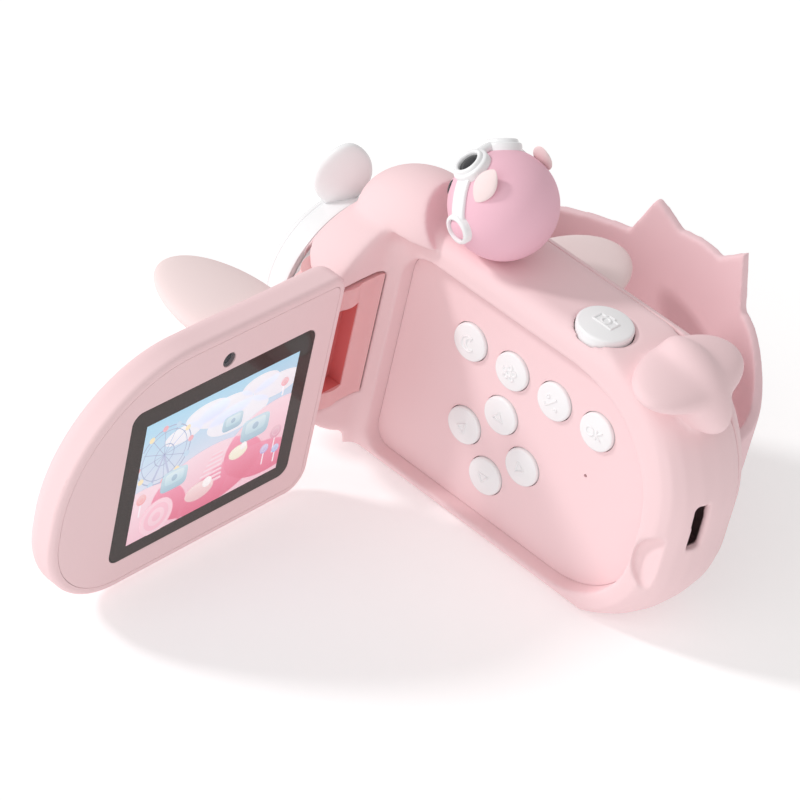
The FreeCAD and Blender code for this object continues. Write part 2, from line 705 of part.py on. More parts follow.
def hinge_arms(grow):
    """Two flat arms from the knuckle into the door."""
    arms = None
    for low_z, high_z in ((KNUCKLE_BOTTOM + 0.4, 24.3), (49.3, KNUCKLE_TOP - 0.4)):
        low = (26.0 - grow, -39.4 - grow, low_z - grow)
        arm = box(low, (42.0 + grow, -37.2 + grow, high_z + grow))
        arms = arm if arms is None else arms.fuse(arm)
    return arms


def hinge_knuckle():
    """The turning block that carries the door; its outside continues the nose's surface."""
    form = nose_form(0).fuse(cove_form())
    near_wall = box((HINGE_X - KNUCKLE_REACH, HINGE_Y + 3.2, 0), (60, 0, 100))
    near_side = box((HINGE_X + 3.2, -56.0, 0), (60, 0, 100))
    barrel = knuckle_zone(7.6, 0)
    knuckle = form.common(near_wall.fuse(near_side).fuse(barrel)).common(knuckle_zone(KNUCKLE_RADIUS, 0))
    knuckle = knuckle.fuse(barrel)
    slot = box((17.4, NOSE_WALL - 4.2, 24.3), (60, NOSE_WALL + 10, 49.3))
    knuckle = knuckle.cut(slot).fuse(hinge_arms(0))
    return knuckle.cut(rod(HINGE_PIN_RADIUS + HINGE_FIT, 80, (HINGE_X, HINGE_Y, 0), AXIS_Z))


def hinge_pin():
    start = KNUCKLE_BOTTOM - PIN_INTO_POST_LOW
    length = KNUCKLE_TOP + PIN_INTO_POST_HIGH - start
    return rod(HINGE_PIN_RADIUS, length, (HINGE_X, HINGE_Y, start), AXIS_Z)


def hinge_washers():
    washers = []
    for low_z in (KNUCKLE_BOTTOM - HINGE_GAP - WASHER_THICK, KNUCKLE_TOP + HINGE_GAP):
        washers.append(tube(4.4, HINGE_PIN_RADIUS, WASHER_THICK, (HINGE_X, HINGE_Y, low_z), AXIS_Z))
    return Part.makeCompound(washers)


# ---------------------------------------------------------------- wings

def wing_form(root_x):
    """A flat rounded wing that reaches from root_x out to the wing tip, on the +X side."""
    half = WING_TIP - WING_CENTRE
    lobe = ellipsoid((WING_CENTRE, WING_Y, WING_Z), (WING_THICK / 2, WING_CHORD / 2, half), AXIS_Y, 90)
    return lobe.common(box((root_x, WING_Y - 40, 0), (WING_TIP + 5, WING_Y + 40, 120)))


def left_wing():
    back_x = RIM + DOOR_CLOSED_GAP + DOOR_THICK
    outer = door_block(0, 0, DOOR_THICK)
    outer = outer.makeFillet(DOOR_BACK_ROUND, end_edges(outer, back_x))
    return to_open(wing_form(back_x - 0.6).cut(outer))


def right_wing():
    wing = mirror_left_right(wing_form(-BODY_RIGHT - 1.3))
    return wing.cut(outer_form())


# ---------------------------------------------------------------- pilot

def head_point(direction, reach):
    size = math.sqrt(sum(value * value for value in direction))
    return tuple(centre + value / size * reach
                 for centre, value in zip((0, HEAD_Y, HEAD_Z), direction))


def pilot_head():
    head = ball(HEAD_RADIUS, (0, HEAD_Y, HEAD_Z))
    return head.cut(box((-20, -40, BODY_HEIGHT - 10), (20, 10, BODY_HEIGHT)))


def disc_on_head(direction, radius, low, high):
    """A disc facing outwards on the pilot's head, from height low to high above its surface."""
    start = head_point(direction, HEAD_RADIUS + low)
    return rod(radius, high - low, start, V(*direction))


def pilot_ears():
    ears = []
    for side in (1, -1):
        ear = ellipsoid((0, 0, 0), (1.6, 3.4, 4.8))
        ear.rotate(V(0, 0, 0), AXIS_Y, 20 * side)
        ear.translate(V(*head_point((0.70 * side, 0.16, 0.72), HEAD_RADIUS + 1.0)))
        ears.append(ear.cut(pilot_head()).cut(goggle_rings()))
    return Part.makeCompound(ears)


GOGGLE_DIRECTION = (0.50, -0.44, 0.74)
BAND_DIRECTION = (0.96, -0.14, -0.24)


def sided(direction, side):
    return (direction[0] * side, direction[1], direction[2])


def goggles():
    """The white frame of the goggles: two rings and a bridge, pushed up on the forehead."""
    frame = None
    for side in (1, -1):
        direction = sided(GOGGLE_DIRECTION, side)
        ring = disc_on_head(direction, 4.6, -0.9, 2.4)
        frame = ring if frame is None else frame.fuse(ring)
    low = head_point((0, -0.52, 0.85), HEAD_RADIUS - 0.4)
    bridge = ellipsoid(low, (5.0, 1.5, 1.5))
    frame = frame.fuse(bridge)
    for side in (1, -1):
        direction = sided(GOGGLE_DIRECTION, side)
        frame = frame.cut(disc_on_head(direction, 3.0, 1.4, 4.0))
    return frame.cut(pilot_head())


def goggle_lenses():
    lenses = [disc_on_head(sided(GOGGLE_DIRECTION, side), 2.95, 1.4, 2.1) for side in (1, -1)]
    return Part.makeCompound(lenses)


def headset_band():
    """The white band that runs down each side of the head from the goggles to the ear cups."""
    bands = []
    for side in (1, -1):
        start = V(*sided(GOGGLE_DIRECTION, side))
        end = V(*sided(BAND_DIRECTION, side))
        normal = start.cross(end)
        normal.normalize()
        middle = V(0, HEAD_Y, HEAD_Z)
        half_wide = 2.0
        hoop = tube(HEAD_RADIUS + 0.9, HEAD_RADIUS + 0.02, 2 * half_wide,
                    tuple(middle - normal * half_wide), normal)
        sector = Part.makePolygon([middle, middle + start * 40, middle + (start + end) * 40,
                                   middle + end * 40, middle])
        wedge = Part.Face(sector)
        wedge.translate(normal * -10)
        hoop = hoop.common(wedge.extrude(normal * 20))
        bands.append(hoop.cut(goggle_rings()).cut(ear_cup(side)))
    return Part.makeCompound(bands)


def goggle_rings():
    left = disc_on_head(sided(GOGGLE_DIRECTION, 1), 4.6, -2, 3)
    return left.fuse(disc_on_head(sided(GOGGLE_DIRECTION, -1), 4.6, -2, 3))


def ear_cup(side):
    cup = disc_on_head(sided(BAND_DIRECTION, side), 3.6, -0.6, 1.6)
    return cup.cut(pilot_head())


def ear_cups():
    cups = []
    for side in (1, -1):
        cup = ear_cup(side)
        cups.append(cup.cut(disc_on_head(sided(BAND_DIRECTION, side), 2.6, 0.8, 3)))
    return Part.makeCompound(cups)


def ear_pads():
    pads = [disc_on_head(sided(BAND_DIRECTION, side), 2.55, 0.8, 1.9) for side in (1, -1)]
    return Part.makeCompound(pads)


def pilot_eyes():
    eyes = []
    for side in (1, -1):
        eye = ellipsoid(head_point((0.50 * side, -0.86, 0.12), HEAD_RADIUS - 0.2), (1.5, 1.0, 1.8))
        eyes.append(eye.cut(pilot_head()))
    return Part.makeCompound(eyes)


def pilot_snout():
    centre = head_point((0, -0.97, -0.16), HEAD_RADIUS - 0.2)
    snout = ellipsoid(centre, (4.2, 2.2, 3.0)).cut(pilot_head())
    for side in (1, -1):
        snout = snout.cut(rod(0.6, 4, (1.3 * side, centre[1] - 4.5, centre[2]), AXIS_Y))
    return snout


# ---------------------------------------------------------------- hand strap

def strap_path(offset):
    """Plan curve of the hand strap, moved outwards by offset."""
    out = offset
    return [V(-30.4 - 0.55 * out, -39.0 - 0.8 * out, 0),
            V(-43.5 - 0.8 * out, -24.0 - 0.6 * out, 0),
            V(-49.8 - out, 2.0, 0),
            V(-47.0 - 0.95 * out, 24.0 + 0.3 * out, 0),
            V(-39.0 - 0.7 * out, 38.4 + 0.7 * out, 0),
            V(-20.5 - 0.3 * out, 46.6 + 0.95 * out, 0)]


def strap_band():
    inner = Part.BSplineCurve()
    inner.interpolate(Points=strap_path(0))
    outer = Part.BSplineCurve()
    outer.interpolate(Points=strap_path(STRAP_THICK))
    starts = Part.LineSegment(strap_path(STRAP_THICK)[0], strap_path(0)[0]).toShape()
    ends = Part.LineSegment(strap_path(0)[-1], strap_path(STRAP_THICK)[-1]).toShape()
    wire = Part.Wire([starts, inner.toShape(), ends, outer.toShape()])
    band = Part.Face(Part.Wire(Part.__sortEdges__(wire.Edges))).extrude(V(0, 0, 90))
    return band


def strap_side_outline():
    """Side view of the strap: two pointed ears on its top edge, and a waist at each end."""
    top = Part.BSplineCurve()
    top.interpolate(Points=[V(-60, -46.0, 57.0), V(-60, -30.0, 58.8), V(-60, -11.0, 60.4)])
    points = [V(-60, -11.0, 60.4), V(-60, -6.4, 72.2), V(-60, 1.8, 67.4), V(-60, 8.9, 68.4),
              V(-60, 14.6, 67.8), V(-60, 21.6, 73.8), V(-60, 26.2, 60.0)]
    rear = Part.BSplineCurve()
    rear.interpolate(Points=[V(-60, 26.2, 60.0), V(-60, 33.0, 57.4), V(-60, 40.0, 52.0), V(-60, 52.0, 47.0)])
    low = Part.BSplineCurve()
    low.interpolate(Points=[V(-60, 52.0, 33.0), V(-60, 30.0, 27.5), V(-60, 2.0, STRAP_BOTTOM),
                            V(-60, -25.0, 25.5), V(-60, -46.0, 30.0)])
    edges = [top.toShape(), rear.toShape(), low.toShape()]
    for first, second in zip(points[:-1], points[1:]):
        edges.append(Part.LineSegment(first, second).toShape())
    edges.append(Part.LineSegment(V(-60, 52.0, 47.0), V(-60, 52.0, 33.0)).toShape())
    edges.append(Part.LineSegment(V(-60, -46.0, 30.0), V(-60, -46.0, 57.0)).toShape())
    return Part.Face(Part.Wire(Part.__sortEdges__(edges)))


def hand_strap():
    strap = strap_band().common(strap_side_outline().extrude(V(60, 0, 0)))
    return max(strap.cut(outer_form()).Solids, key=lambda piece: piece.Volume)


# ---------------------------------------------------------------- write every piece

def build():
    shell = whole_shell()
    save(main_housing(shell), "main_housing")
    save(right_cover(shell), "right_cover")
    save(housing_screws(), "housing_screws")
    save(control_panel(), "control_panel")
    for name, y, z in key_places():
        save(key_cap(y, z), name)
    save(shutter_button(), "shutter_button")
    for piece in (main_board, key_mat, battery, speaker, microphone, usb_socket, card_socket,
                  shutter_switch, propeller, lens_barrel, lens_bezel, lens_glass, camera_module,
                  door_back, door_screws, door_bezel, display_glass, display_module,
                  selfie_window, selfie_camera, hinge_knuckle, hinge_pin, hinge_washers,
                  left_wing, right_wing, pilot_head, pilot_ears, goggles, goggle_lenses,
                  headset_band, ear_cups, ear_pads, pilot_eyes, pilot_snout, hand_strap):
        save(piece(), piece.__name__)


build()
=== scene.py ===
import bmesh
import bpy
import json
import math
import numpy as np
from bpy.props import FloatProperty, FloatVectorProperty, IntProperty, PointerProperty
from mathutils import Matrix, Vector


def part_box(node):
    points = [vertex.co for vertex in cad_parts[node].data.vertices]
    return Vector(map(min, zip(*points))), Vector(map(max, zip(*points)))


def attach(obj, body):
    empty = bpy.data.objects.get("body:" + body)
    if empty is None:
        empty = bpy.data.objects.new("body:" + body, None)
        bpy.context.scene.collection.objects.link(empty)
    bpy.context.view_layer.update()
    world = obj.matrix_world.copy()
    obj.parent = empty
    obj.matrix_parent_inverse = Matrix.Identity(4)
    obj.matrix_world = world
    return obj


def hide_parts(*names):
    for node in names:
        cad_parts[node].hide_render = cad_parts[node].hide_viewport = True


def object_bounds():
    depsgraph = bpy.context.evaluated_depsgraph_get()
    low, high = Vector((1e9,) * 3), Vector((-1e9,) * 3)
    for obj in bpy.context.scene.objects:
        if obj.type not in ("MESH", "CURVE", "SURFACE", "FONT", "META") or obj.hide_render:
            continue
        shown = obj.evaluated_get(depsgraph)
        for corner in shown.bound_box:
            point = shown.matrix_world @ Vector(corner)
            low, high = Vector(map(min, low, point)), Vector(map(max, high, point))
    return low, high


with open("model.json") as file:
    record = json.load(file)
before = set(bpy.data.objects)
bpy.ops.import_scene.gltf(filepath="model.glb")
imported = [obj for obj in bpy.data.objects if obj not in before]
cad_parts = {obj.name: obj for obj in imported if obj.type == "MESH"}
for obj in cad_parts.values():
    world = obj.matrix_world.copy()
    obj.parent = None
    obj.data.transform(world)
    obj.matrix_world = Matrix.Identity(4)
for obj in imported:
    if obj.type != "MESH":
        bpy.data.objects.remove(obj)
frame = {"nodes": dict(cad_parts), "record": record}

bl_info = {
    "name": "Toy Plane Camcorder",
    "version": (1, 0, 0),
    "blender": (4, 5, 0),
    "location": "View3D > Sidebar > Camcorder",
    "description": "Builds the looks of a toy camcorder shaped like a small aeroplane",
    "category": "Object",
}

MM = 0.001
CAD_LOW, CAD_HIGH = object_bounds()
SLOT_OF = {row["node"]: row["material_slot"] for row in frame["record"]["subparts"]}
BODY_OF = {node: body for body, nodes in frame["record"]["behaviour"]["bodies"].items() for node in nodes}
DECK_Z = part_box("pilot_head")[0].z
WALL_OF_NOSE_Y = -37.0 * MM       # the nose's flat wall, which faces the rear
KEY_FLANGE = 0.9 * MM             # the retaining flange's width round a key's cap
KEY_FLANGE_THICK = 0.8 * MM
KEY_BACK = 2.2 * MM               # flange and stem together, behind the cap
KEY_STEM_RADIUS = 1.6 * MM
KEY_EDGE_ROUND = 0.55 * MM
SHUTTER_TAB = 1.0 * MM            # how far a retaining tab stands out from the button
SHUTTER_CROWN = 30 * MM
SHUTTER_CAP_DEPTH = 3.9 * MM
SHUTTER_STEM_RADIUS = 1.5 * MM
SHUTTER_EDGE_ROUND = 0.7 * MM
RING_REAR_Y = -57.2 * MM
RING_FRONT_Y = -66.2 * MM
RING_LIP_RADIUS = 17.2 * MM
RING_MOUTH_RADIUS = 21.1 * MM
RING_BORE_RADIUS = 14.6 * MM
RING_SEAT_RADIUS = 16.1 * MM
RING_SEAT_DEPTH = 0.9 * MM
RING_SEAM_DEPTH = 0.21 * MM       # the fine groove behind the ring's front lip
BLADE_TIP = 35.0 * MM
BLADE_ROOT = 16.6 * MM            # buried in the ring
BLADE_Y = -62.6 * MM
BLADE_HALF_WIDTH = 7.4 * MM
BLADE_HALF_THICK = 2.1 * MM
# The slot bounds below place the coral painted shade inside the hinge block's slot.
SLOT_SIDE = 6.9 * MM              # the hinge block's left side to its slot
SLOT_FOOT = 4.8 * MM
SLOT_HEAD = 5.6 * MM
SLOT_DEPTH = 4.3 * MM
SLOT_LIP = 0.35 * MM              # outermost part of the slot, which stays shell pink outside the coral painted shade
KEY_LIGHT_FROM = (0.58, -0.78, 0.66)
FILL_LIGHT_FROM = (0.90, 0.05, 0.45)
CAMERA_AIM = (33.796 * MM, -7.809 * MM, 46.882 * MM)
KEY_NODES = ("power_key", "effects_key", "edit_key", "ok_key",
             "left_key", "up_key", "down_key", "right_key")


# ---------------------------------------------------------------- settings

def colour_setting(name, description, default):
    return FloatVectorProperty(name=name, description=description, default=default, size=3,
                               min=0.0, max=1.0, subtype="COLOR")


def length_setting(name, description, default):
    return FloatProperty(name=name, description=description, default=default, min=0.0,
                         unit="LENGTH", subtype="DISTANCE", precision=5)


class CamcorderColours(bpy.types.PropertyGroup):
    shell: colour_setting("Shell", "Pink of the body, the door and the control panel", (0.870, 0.500, 0.510))
    strap: colour_setting("Strap", "Pink of the soft hand strap", (0.870, 0.480, 0.490))
    wing: colour_setting("Wings", "Paler pink of the wings and the pilot's ears", (0.820, 0.530, 0.530))
    pilot: colour_setting("Pilot", "Deeper pink of the pilot's head", (0.850, 0.330, 0.380))
    # The hinge slot colour is painted shade: coral standing in for the shadow and pink bounce light deep in
    # the slot.
    slot: colour_setting("Hinge slot", "Coral inside the slot of the hinge block", (0.740, 0.190, 0.190))
    white: colour_setting("White parts", "White of the keys, the propeller and the goggles",
                          (0.840, 0.840, 0.850))
    black: colour_setting("Black parts", "Black of the lenses and the eyes", (0.012, 0.011, 0.010))
    board: colour_setting("Circuit board", "Solder mask of the main board", (0.030, 0.180, 0.075))
    metal: colour_setting("Metal", "Zinc plated and canned metal parts", (0.560, 0.560, 0.580))
    rubber: colour_setting("Key mat", "Silicone of the switch domes", (0.620, 0.620, 0.630))


class CamcorderSizes(bpy.types.PropertyGroup):
    voxel: length_setting("Skin detail", "Mesh size of the moulded skins", 0.56 * MM)
    strap_voxel: length_setting("Strap detail", "Mesh size of the strap", 0.5 * MM)
    grain: length_setting("Grain", "Size of the fine moulded grain", 0.35 * MM)
    skin_passes: IntProperty(name="Edge softening", description="Smoothing passes over every moulded edge",
                             default=3, min=0, max=40)
    blend_passes: IntProperty(name="Blend softening", default=70, min=0, max=300,
                              description="Smoothing passes where two forms flow together")
    key_crown: length_setting("Key crown", "Radius of the crown on a key", 20.0 * MM)
    icon_line: length_setting("Icon line", "Half the width of an embossed line", 0.27 * MM)
    goggle_radius: length_setting("Goggle radius", "Outer radius of one goggle ring", 4.6 * MM)
    blade_twist: FloatProperty(name="Blade twist", default=math.radians(28), subtype="ANGLE",
                               description="Turn of each propeller blade about its own length")


class CamcorderLight(bpy.types.PropertyGroup):
    key: FloatProperty(name="Key light", description="Strength of the low key light", default=1.2, min=0.0)
    fill: FloatProperty(name="Fill light", default=0.62, min=0.0,
                        description="Strength of the broad fill light")
    sky: FloatProperty(name="Surround", description="Brightness of the white surround", default=0.57, min=0.0)
    distance: length_setting("Camera distance", "From the camera to the point it looks at", 0.8162122)
    focal: FloatProperty(name="Focal length", description="Focal length of the camera lens, in millimetres",
                         default=160.657, min=1.0)
    azimuth: FloatProperty(name="Azimuth", description="Camera's turn about the upright axis",
                           default=math.radians(124.815), subtype="ANGLE")
    elevation: FloatProperty(name="Elevation", description="Camera's height above the horizon",
                             default=math.radians(37.289), subtype="ANGLE")
    roll: FloatProperty(name="Roll", description="Camera's turn about its own line of sight",
                        default=math.radians(13.35), subtype="ANGLE")


def colours():
    return bpy.context.scene.camcorder_colours


def sizes():
    return bpy.context.scene.camcorder_sizes


# ---------------------------------------------------------------- materials

def add_node(material, kind, **values):
    node = material.node_tree.nodes.new(kind)
    for name, value in values.items():
        if hasattr(node, name):
            setattr(node, name, value)
        else:
            node.inputs[name.replace("_", " ")].default_value = value
    return node


def start_material(name):
    material = bpy.data.materials.new(name)
    material.use_nodes = True
    shader = material.node_tree.nodes["Principled BSDF"]
    place = add_node(material, "ShaderNodeTexCoord")
    return material, shader, place.outputs["Object"]


def noise(material, place, size, detail=2.0, roughness=0.5):
    """Noise with features of a given size, in metres."""
    node = add_node(material, "ShaderNodeTexNoise", Scale=1.0 / size, Detail=detail, Roughness=roughness)
    material.node_tree.links.new(place, node.inputs["Vector"])
    return node.outputs["Fac"]


def varied_colour(material, factor, colour, spread):
    """A colour that drifts a little lighter and darker with the factor."""
    ramp = add_node(material, "ShaderNodeValToRGB")
    ramp.color_ramp.elements[0].position = 0.3
    ramp.color_ramp.elements[1].position = 0.7
    ramp.color_ramp.elements[0].color = (*[channel * (1 - spread) for channel in colour], 1)
    ramp.color_ramp.elements[1].color = (*[min(1.0, channel * (1 + spread)) for channel in colour], 1)
    material.node_tree.links.new(factor, ramp.inputs["Fac"])
    return ramp.outputs["Color"]


def spread_range(material, factor, low, high):
    node = add_node(material, "ShaderNodeMapRange")
    node.inputs["To Min"].default_value = low
    node.inputs["To Max"].default_value = high
    material.node_tree.links.new(factor, node.inputs["Value"])
    return node.outputs["Result"]


def bump(material, shader, height, distance, strength=1.0):
    node = add_node(material, "ShaderNodeBump")
    node.inputs["Distance"].default_value = distance
    node.inputs["Strength"].default_value = strength
    material.node_tree.links.new(height, node.inputs["Height"])
    material.node_tree.links.new(node.outputs["Normal"], shader.inputs["Normal"])


def moulded(name, colour, gloss, spread=0.02, grain_depth=0.000012, through=0.0, coat=0.0):
    """Moulded plastic: a slight drift of colour, uneven sheen and a fine grain."""
    material, shader, place = start_material(name)
    links = material.node_tree.links
    drift = noise(material, place, 16 * MM, 3.0)
    links.new(varied_colour(material, drift, colour, spread), shader.inputs["Base Color"])
    patch = noise(material, place, 3.5 * MM, 4.0, 0.6)
    links.new(spread_range(material, patch, gloss - 0.06, gloss + 0.08), shader.inputs["Roughness"])
    bump(material, shader, noise(material, place, sizes().grain, 2.0), grain_depth, 0.6)
    shader.inputs["Subsurface Weight"].default_value = through
    shader.inputs["Subsurface Radius"].default_value = (1.0, 0.35, 0.3)
    shader.inputs["Subsurface Scale"].default_value = 1.5 * MM
    shader.inputs["Coat Weight"].default_value = coat
    shader.inputs["Coat Roughness"].default_value = 0.12
    shader.inputs["Specular IOR Level"].default_value = 0.4
    return material


def metal(name, colour, gloss):
    """Plated metal with fine rolling lines."""
    material, shader, place = start_material(name)
    links = material.node_tree.links
    stretch = add_node(material, "ShaderNodeMapping")
    stretch.inputs["Scale"].default_value = (1.0, 1.0, 12.0)
    links.new(place, stretch.inputs["Vector"])
    lines = noise(material, stretch.outputs["Vector"], 1.2 * MM, 5.0, 0.7)
    links.new(varied_colour(material, lines, colour, 0.08), shader.inputs["Base Color"])
    links.new(spread_range(material, lines, gloss - 0.08, gloss + 0.12), shader.inputs["Roughness"])
    bump(material, shader, lines, 0.000006)
    shader.inputs["Metallic"].default_value = 1.0
    return material


def clear_cover(name, colour):
    """A glossy dark window with a faint coating tint."""
    material, shader, place = start_material(name)
    links = material.node_tree.links
    drift = noise(material, place, 6 * MM, 2.0)
    links.new(varied_colour(material, drift, colour, 0.25), shader.inputs["Base Color"])
    links.new(spread_range(material, drift, 0.05, 0.11), shader.inputs["Roughness"])
    shader.inputs["Coat Weight"].default_value = 1.0
    shader.inputs["Coat Roughness"].default_value = 0.03
    return material


def circuit_board(name, colour):
    """Green solder mask with paler tracks."""
    material, shader, place = start_material(name)
    links = material.node_tree.links
    tracks = add_node(material, "ShaderNodeTexBrick", Scale=260.0)
    tracks.inputs["Color1"].default_value = (*colour, 1)
    tracks.inputs["Color2"].default_value = (*[0.8 * channel for channel in colour], 1)
    tracks.inputs["Mortar"].default_value = (0.09, 0.34, 0.16, 1)
    links.new(place, tracks.inputs["Vector"])
    links.new(tracks.outputs["Color"], shader.inputs["Base Color"])
    bump(material, shader, tracks.outputs["Fac"], 0.00002)
    shader.inputs["Roughness"].default_value = 0.35
    return material


def printed_picture(name):
    """The lit picture: each printed shape carries its own tint, under a glossy cover."""
    material, shader, place = start_material(name)
    links = material.node_tree.links
    tint = add_node(material, "ShaderNodeVertexColor", layer_name="tint")
    cells = noise(material, place, 0.12 * MM, 1.0)
    lifted = add_node(material, "ShaderNodeHueSaturation")
    links.new(tint.outputs["Color"], lifted.inputs["Color"])
    links.new(spread_range(material, cells, 0.96, 1.04), lifted.inputs["Value"])
    links.new(lifted.outputs["Color"], shader.inputs["Base Color"])
    links.new(lifted.outputs["Color"], shader.inputs["Emission Color"])
    shader.inputs["Emission Strength"].default_value = 0.22
    shader.inputs["Roughness"].default_value = 0.3
    shader.inputs["Coat Weight"].default_value = 0.6
    shader.inputs["Coat Roughness"].default_value = 0.05
    return material


def shell_plastic_with_painted_slot_shade(name):
    """Shell plastic that turns coral inside the slot of the hinge block."""
    material = moulded(name, tuple(colours().shell), 0.48, through=0.12)
    tree = material.node_tree
    shader = tree.nodes["Principled BSDF"]
    place = next(node for node in tree.nodes if node.type == "TEX_COORD").outputs["Object"]
    split = add_node(material, "ShaderNodeSeparateXYZ")
    tree.links.new(place, split.inputs["Vector"])
    low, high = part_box("hinge_knuckle")
    # inside masks the box within the hinge slot that gets the coral painted shade.
    limits = (("Y", "LESS_THAN", WALL_OF_NOSE_Y - SLOT_LIP), ("X", "GREATER_THAN", low.x + SLOT_SIDE),
              ("Z", "GREATER_THAN", low.z + SLOT_FOOT), ("Z", "LESS_THAN", high.z - SLOT_HEAD),
              ("Y", "GREATER_THAN", WALL_OF_NOSE_Y - SLOT_DEPTH))
    inside = None
    for axis, operation, limit in limits:
        test = add_node(material, "ShaderNodeMath", operation=operation)
        tree.links.new(split.outputs[axis], test.inputs[0])
        test.inputs[1].default_value = limit
        if inside is None:
            inside = test.outputs[0]
        else:
            both = add_node(material, "ShaderNodeMath", operation="MULTIPLY")
            tree.links.new(inside, both.inputs[0])
            tree.links.new(test.outputs[0], both.inputs[1])
            inside = both.outputs[0]
    # Mixes the coral painted shade over the plain shell colour inside the slot.
    painted_slot_shade_mix = add_node(material, "ShaderNodeMix", data_type="RGBA")
    plain = shader.inputs["Base Color"].links[0].from_socket
    tree.links.new(inside, painted_slot_shade_mix.inputs["Factor"])
    tree.links.new(plain, painted_slot_shade_mix.inputs["A"])
    painted_slot_shade_mix.inputs["B"].default_value = (*colours().slot, 1)
    tree.links.new(painted_slot_shade_mix.outputs["Result"], shader.inputs["Base Color"])
    return material


def make_materials():
    shade = colours()
    return {
        "shell_pink": moulded("shell_pink", tuple(shade.shell), 0.48, through=0.12),
        "soft_pink": moulded("soft_pink", tuple(shade.strap), 0.58, grain_depth=0.00002, through=0.22),
        "pilot_pink": moulded("pilot_pink", tuple(shade.pilot), 0.38, through=0.15, coat=0.1),
        "pale_pink": moulded("pale_pink", tuple(shade.wing), 0.50, through=0.12),
        "white": moulded("white", tuple(shade.white), 0.34, 0.01, 0.000006, coat=0.15),
        "black": moulded("black", tuple(shade.black), 0.34, 0.2, 0.000003),
        "screen_glass": clear_cover("screen_glass", (0.020, 0.017, 0.014)),
        "lens_glass": clear_cover("lens_glass", (0.010, 0.012, 0.020)),
        "steel": metal("steel", tuple(shade.metal), 0.32),
        "metal_can": metal("metal_can", tuple(channel * 1.1 for channel in shade.metal), 0.42),
        "board": circuit_board("board", tuple(shade.board)),
        "switch_rubber": moulded("switch_rubber", tuple(shade.rubber), 0.6, 0.03, 0.00002, through=0.2),
        "picture": printed_picture("picture"),
        # Shell plastic with coral painted shade inside the hinge slot.
        "hinge_block": shell_plastic_with_painted_slot_shade("hinge_block"),
    }


def material_of(name):
    found = bpy.data.materials.get(name)
    if found is None:
        raise RuntimeError("material " + name + " isn't made yet; run the materials operator first")
    return found


# ---------------------------------------------------------------- mesh tools

def finish_mesh(bm, name):
    bmesh.ops.recalc_face_normals(bm, faces=bm.faces[:])
    mesh = bpy.data.meshes.new(name)
    bm.to_mesh(mesh)
    bm.free()
    return mesh


def place_piece(name, mesh, material, body, nodes=()):
    """Links a finished mesh as a piece that rides on a body and stands for CAD nodes."""
    piece = bpy.data.objects.new(name, mesh)
    bpy.context.scene.collection.objects.link(piece)
    mesh.materials.clear()
    mesh.materials.append(material_of(material))
    mesh.shade_smooth()
    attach(piece, body)
    if nodes:
        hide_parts(*nodes)
    return piece


def crease(piece, degrees=35.0):
    """Keeps edges sharper than this angle crisp in the shading."""
    piece.data.set_sharp_from_angle(angle=math.radians(degrees))
    return piece


def carry(node, material=None):
    """Gives a CAD node, kept as it is, its finish."""
    holder = frame["nodes"][node]
    holder.data.materials.clear()
    holder.data.materials.append(material_of(material or SLOT_OF[node]))
    return holder


def applied(piece):
    """Turns a piece's modifiers into plain mesh."""
    graph = bpy.context.evaluated_depsgraph_get()
    mesh = bpy.data.meshes.new_from_object(piece.evaluated_get(graph))
    piece.modifiers.clear()
    piece.vertex_groups.clear()
    spent = piece.data
    piece.data = mesh
    bpy.data.meshes.remove(spent)
    return piece


def bridge_rings(bm, rings, closed=False):
    """Skins a list of vertex rings of equal length."""
    pairs = list(zip(rings[:-1], rings[1:]))
    if closed:
        pairs.append((rings[-1], rings[0]))
    for first, second in pairs:
        count = len(first)
        for index in range(count):
            after = (index + 1) % count
            bm.faces.new((first[index], first[after], second[after], second[index]))


def lathe(bm, profile, frame_matrix, segments=64):
    """Turns (radius, height) points about the local Z axis of frame_matrix; the ends lie on the axis."""
    rings = []
    for radius, height in profile[1:-1]:
        ring = []
        for index in range(segments):
            angle = 2 * math.pi * index / segments
            ring.append(bm.verts.new(frame_matrix @ Vector((radius * math.cos(angle),
                                                            radius * math.sin(angle), height))))
        rings.append(ring)
    bridge_rings(bm, rings)
    for end, ring in ((profile[0], rings[0]), (profile[-1], rings[-1])):
        tip = bm.verts.new(frame_matrix @ Vector((0, 0, end[1])))
        for index in range(segments):
            bm.faces.new((ring[index], ring[(index + 1) % segments], tip))


def lathe_ring(bm, profile, frame_matrix, segments=96):
    """Turns a closed profile of (radius, height) points into a ring."""
    rings = []
    for index in range(segments):
        angle = 2 * math.pi * index / segments
        across, along = math.cos(angle), math.sin(angle)
        rings.append([bm.verts.new(frame_matrix @ Vector((radius * across, radius * along, height)))
                      for radius, height in profile])
    bridge_rings(bm, rings, closed=True)


def axis_frame(origin, direction, upright=Vector((0, 0, 1))):
    """A matrix whose Z axis is direction, at origin, with X kept level."""
    z_axis = Vector(direction).normalized()
    x_axis = upright.cross(z_axis)
    if x_axis.length < 1e-4:
        x_axis = Vector((1, 0, 0))
    x_axis.normalize()
    y_axis = z_axis.cross(x_axis)
    matrix = Matrix((x_axis, y_axis, z_axis)).transposed().to_4x4()
    matrix.translation = Vector(origin)
    return matrix


def arc(centre, radius, start, end, count):
    """Points on an arc, in degrees from start to end."""
    points = []
    for index in range(count + 1):
        angle = math.radians(start + (end - start) * index / count)
        points.append((centre[0] + radius * math.cos(angle), centre[1] + radius * math.sin(angle)))
    return points


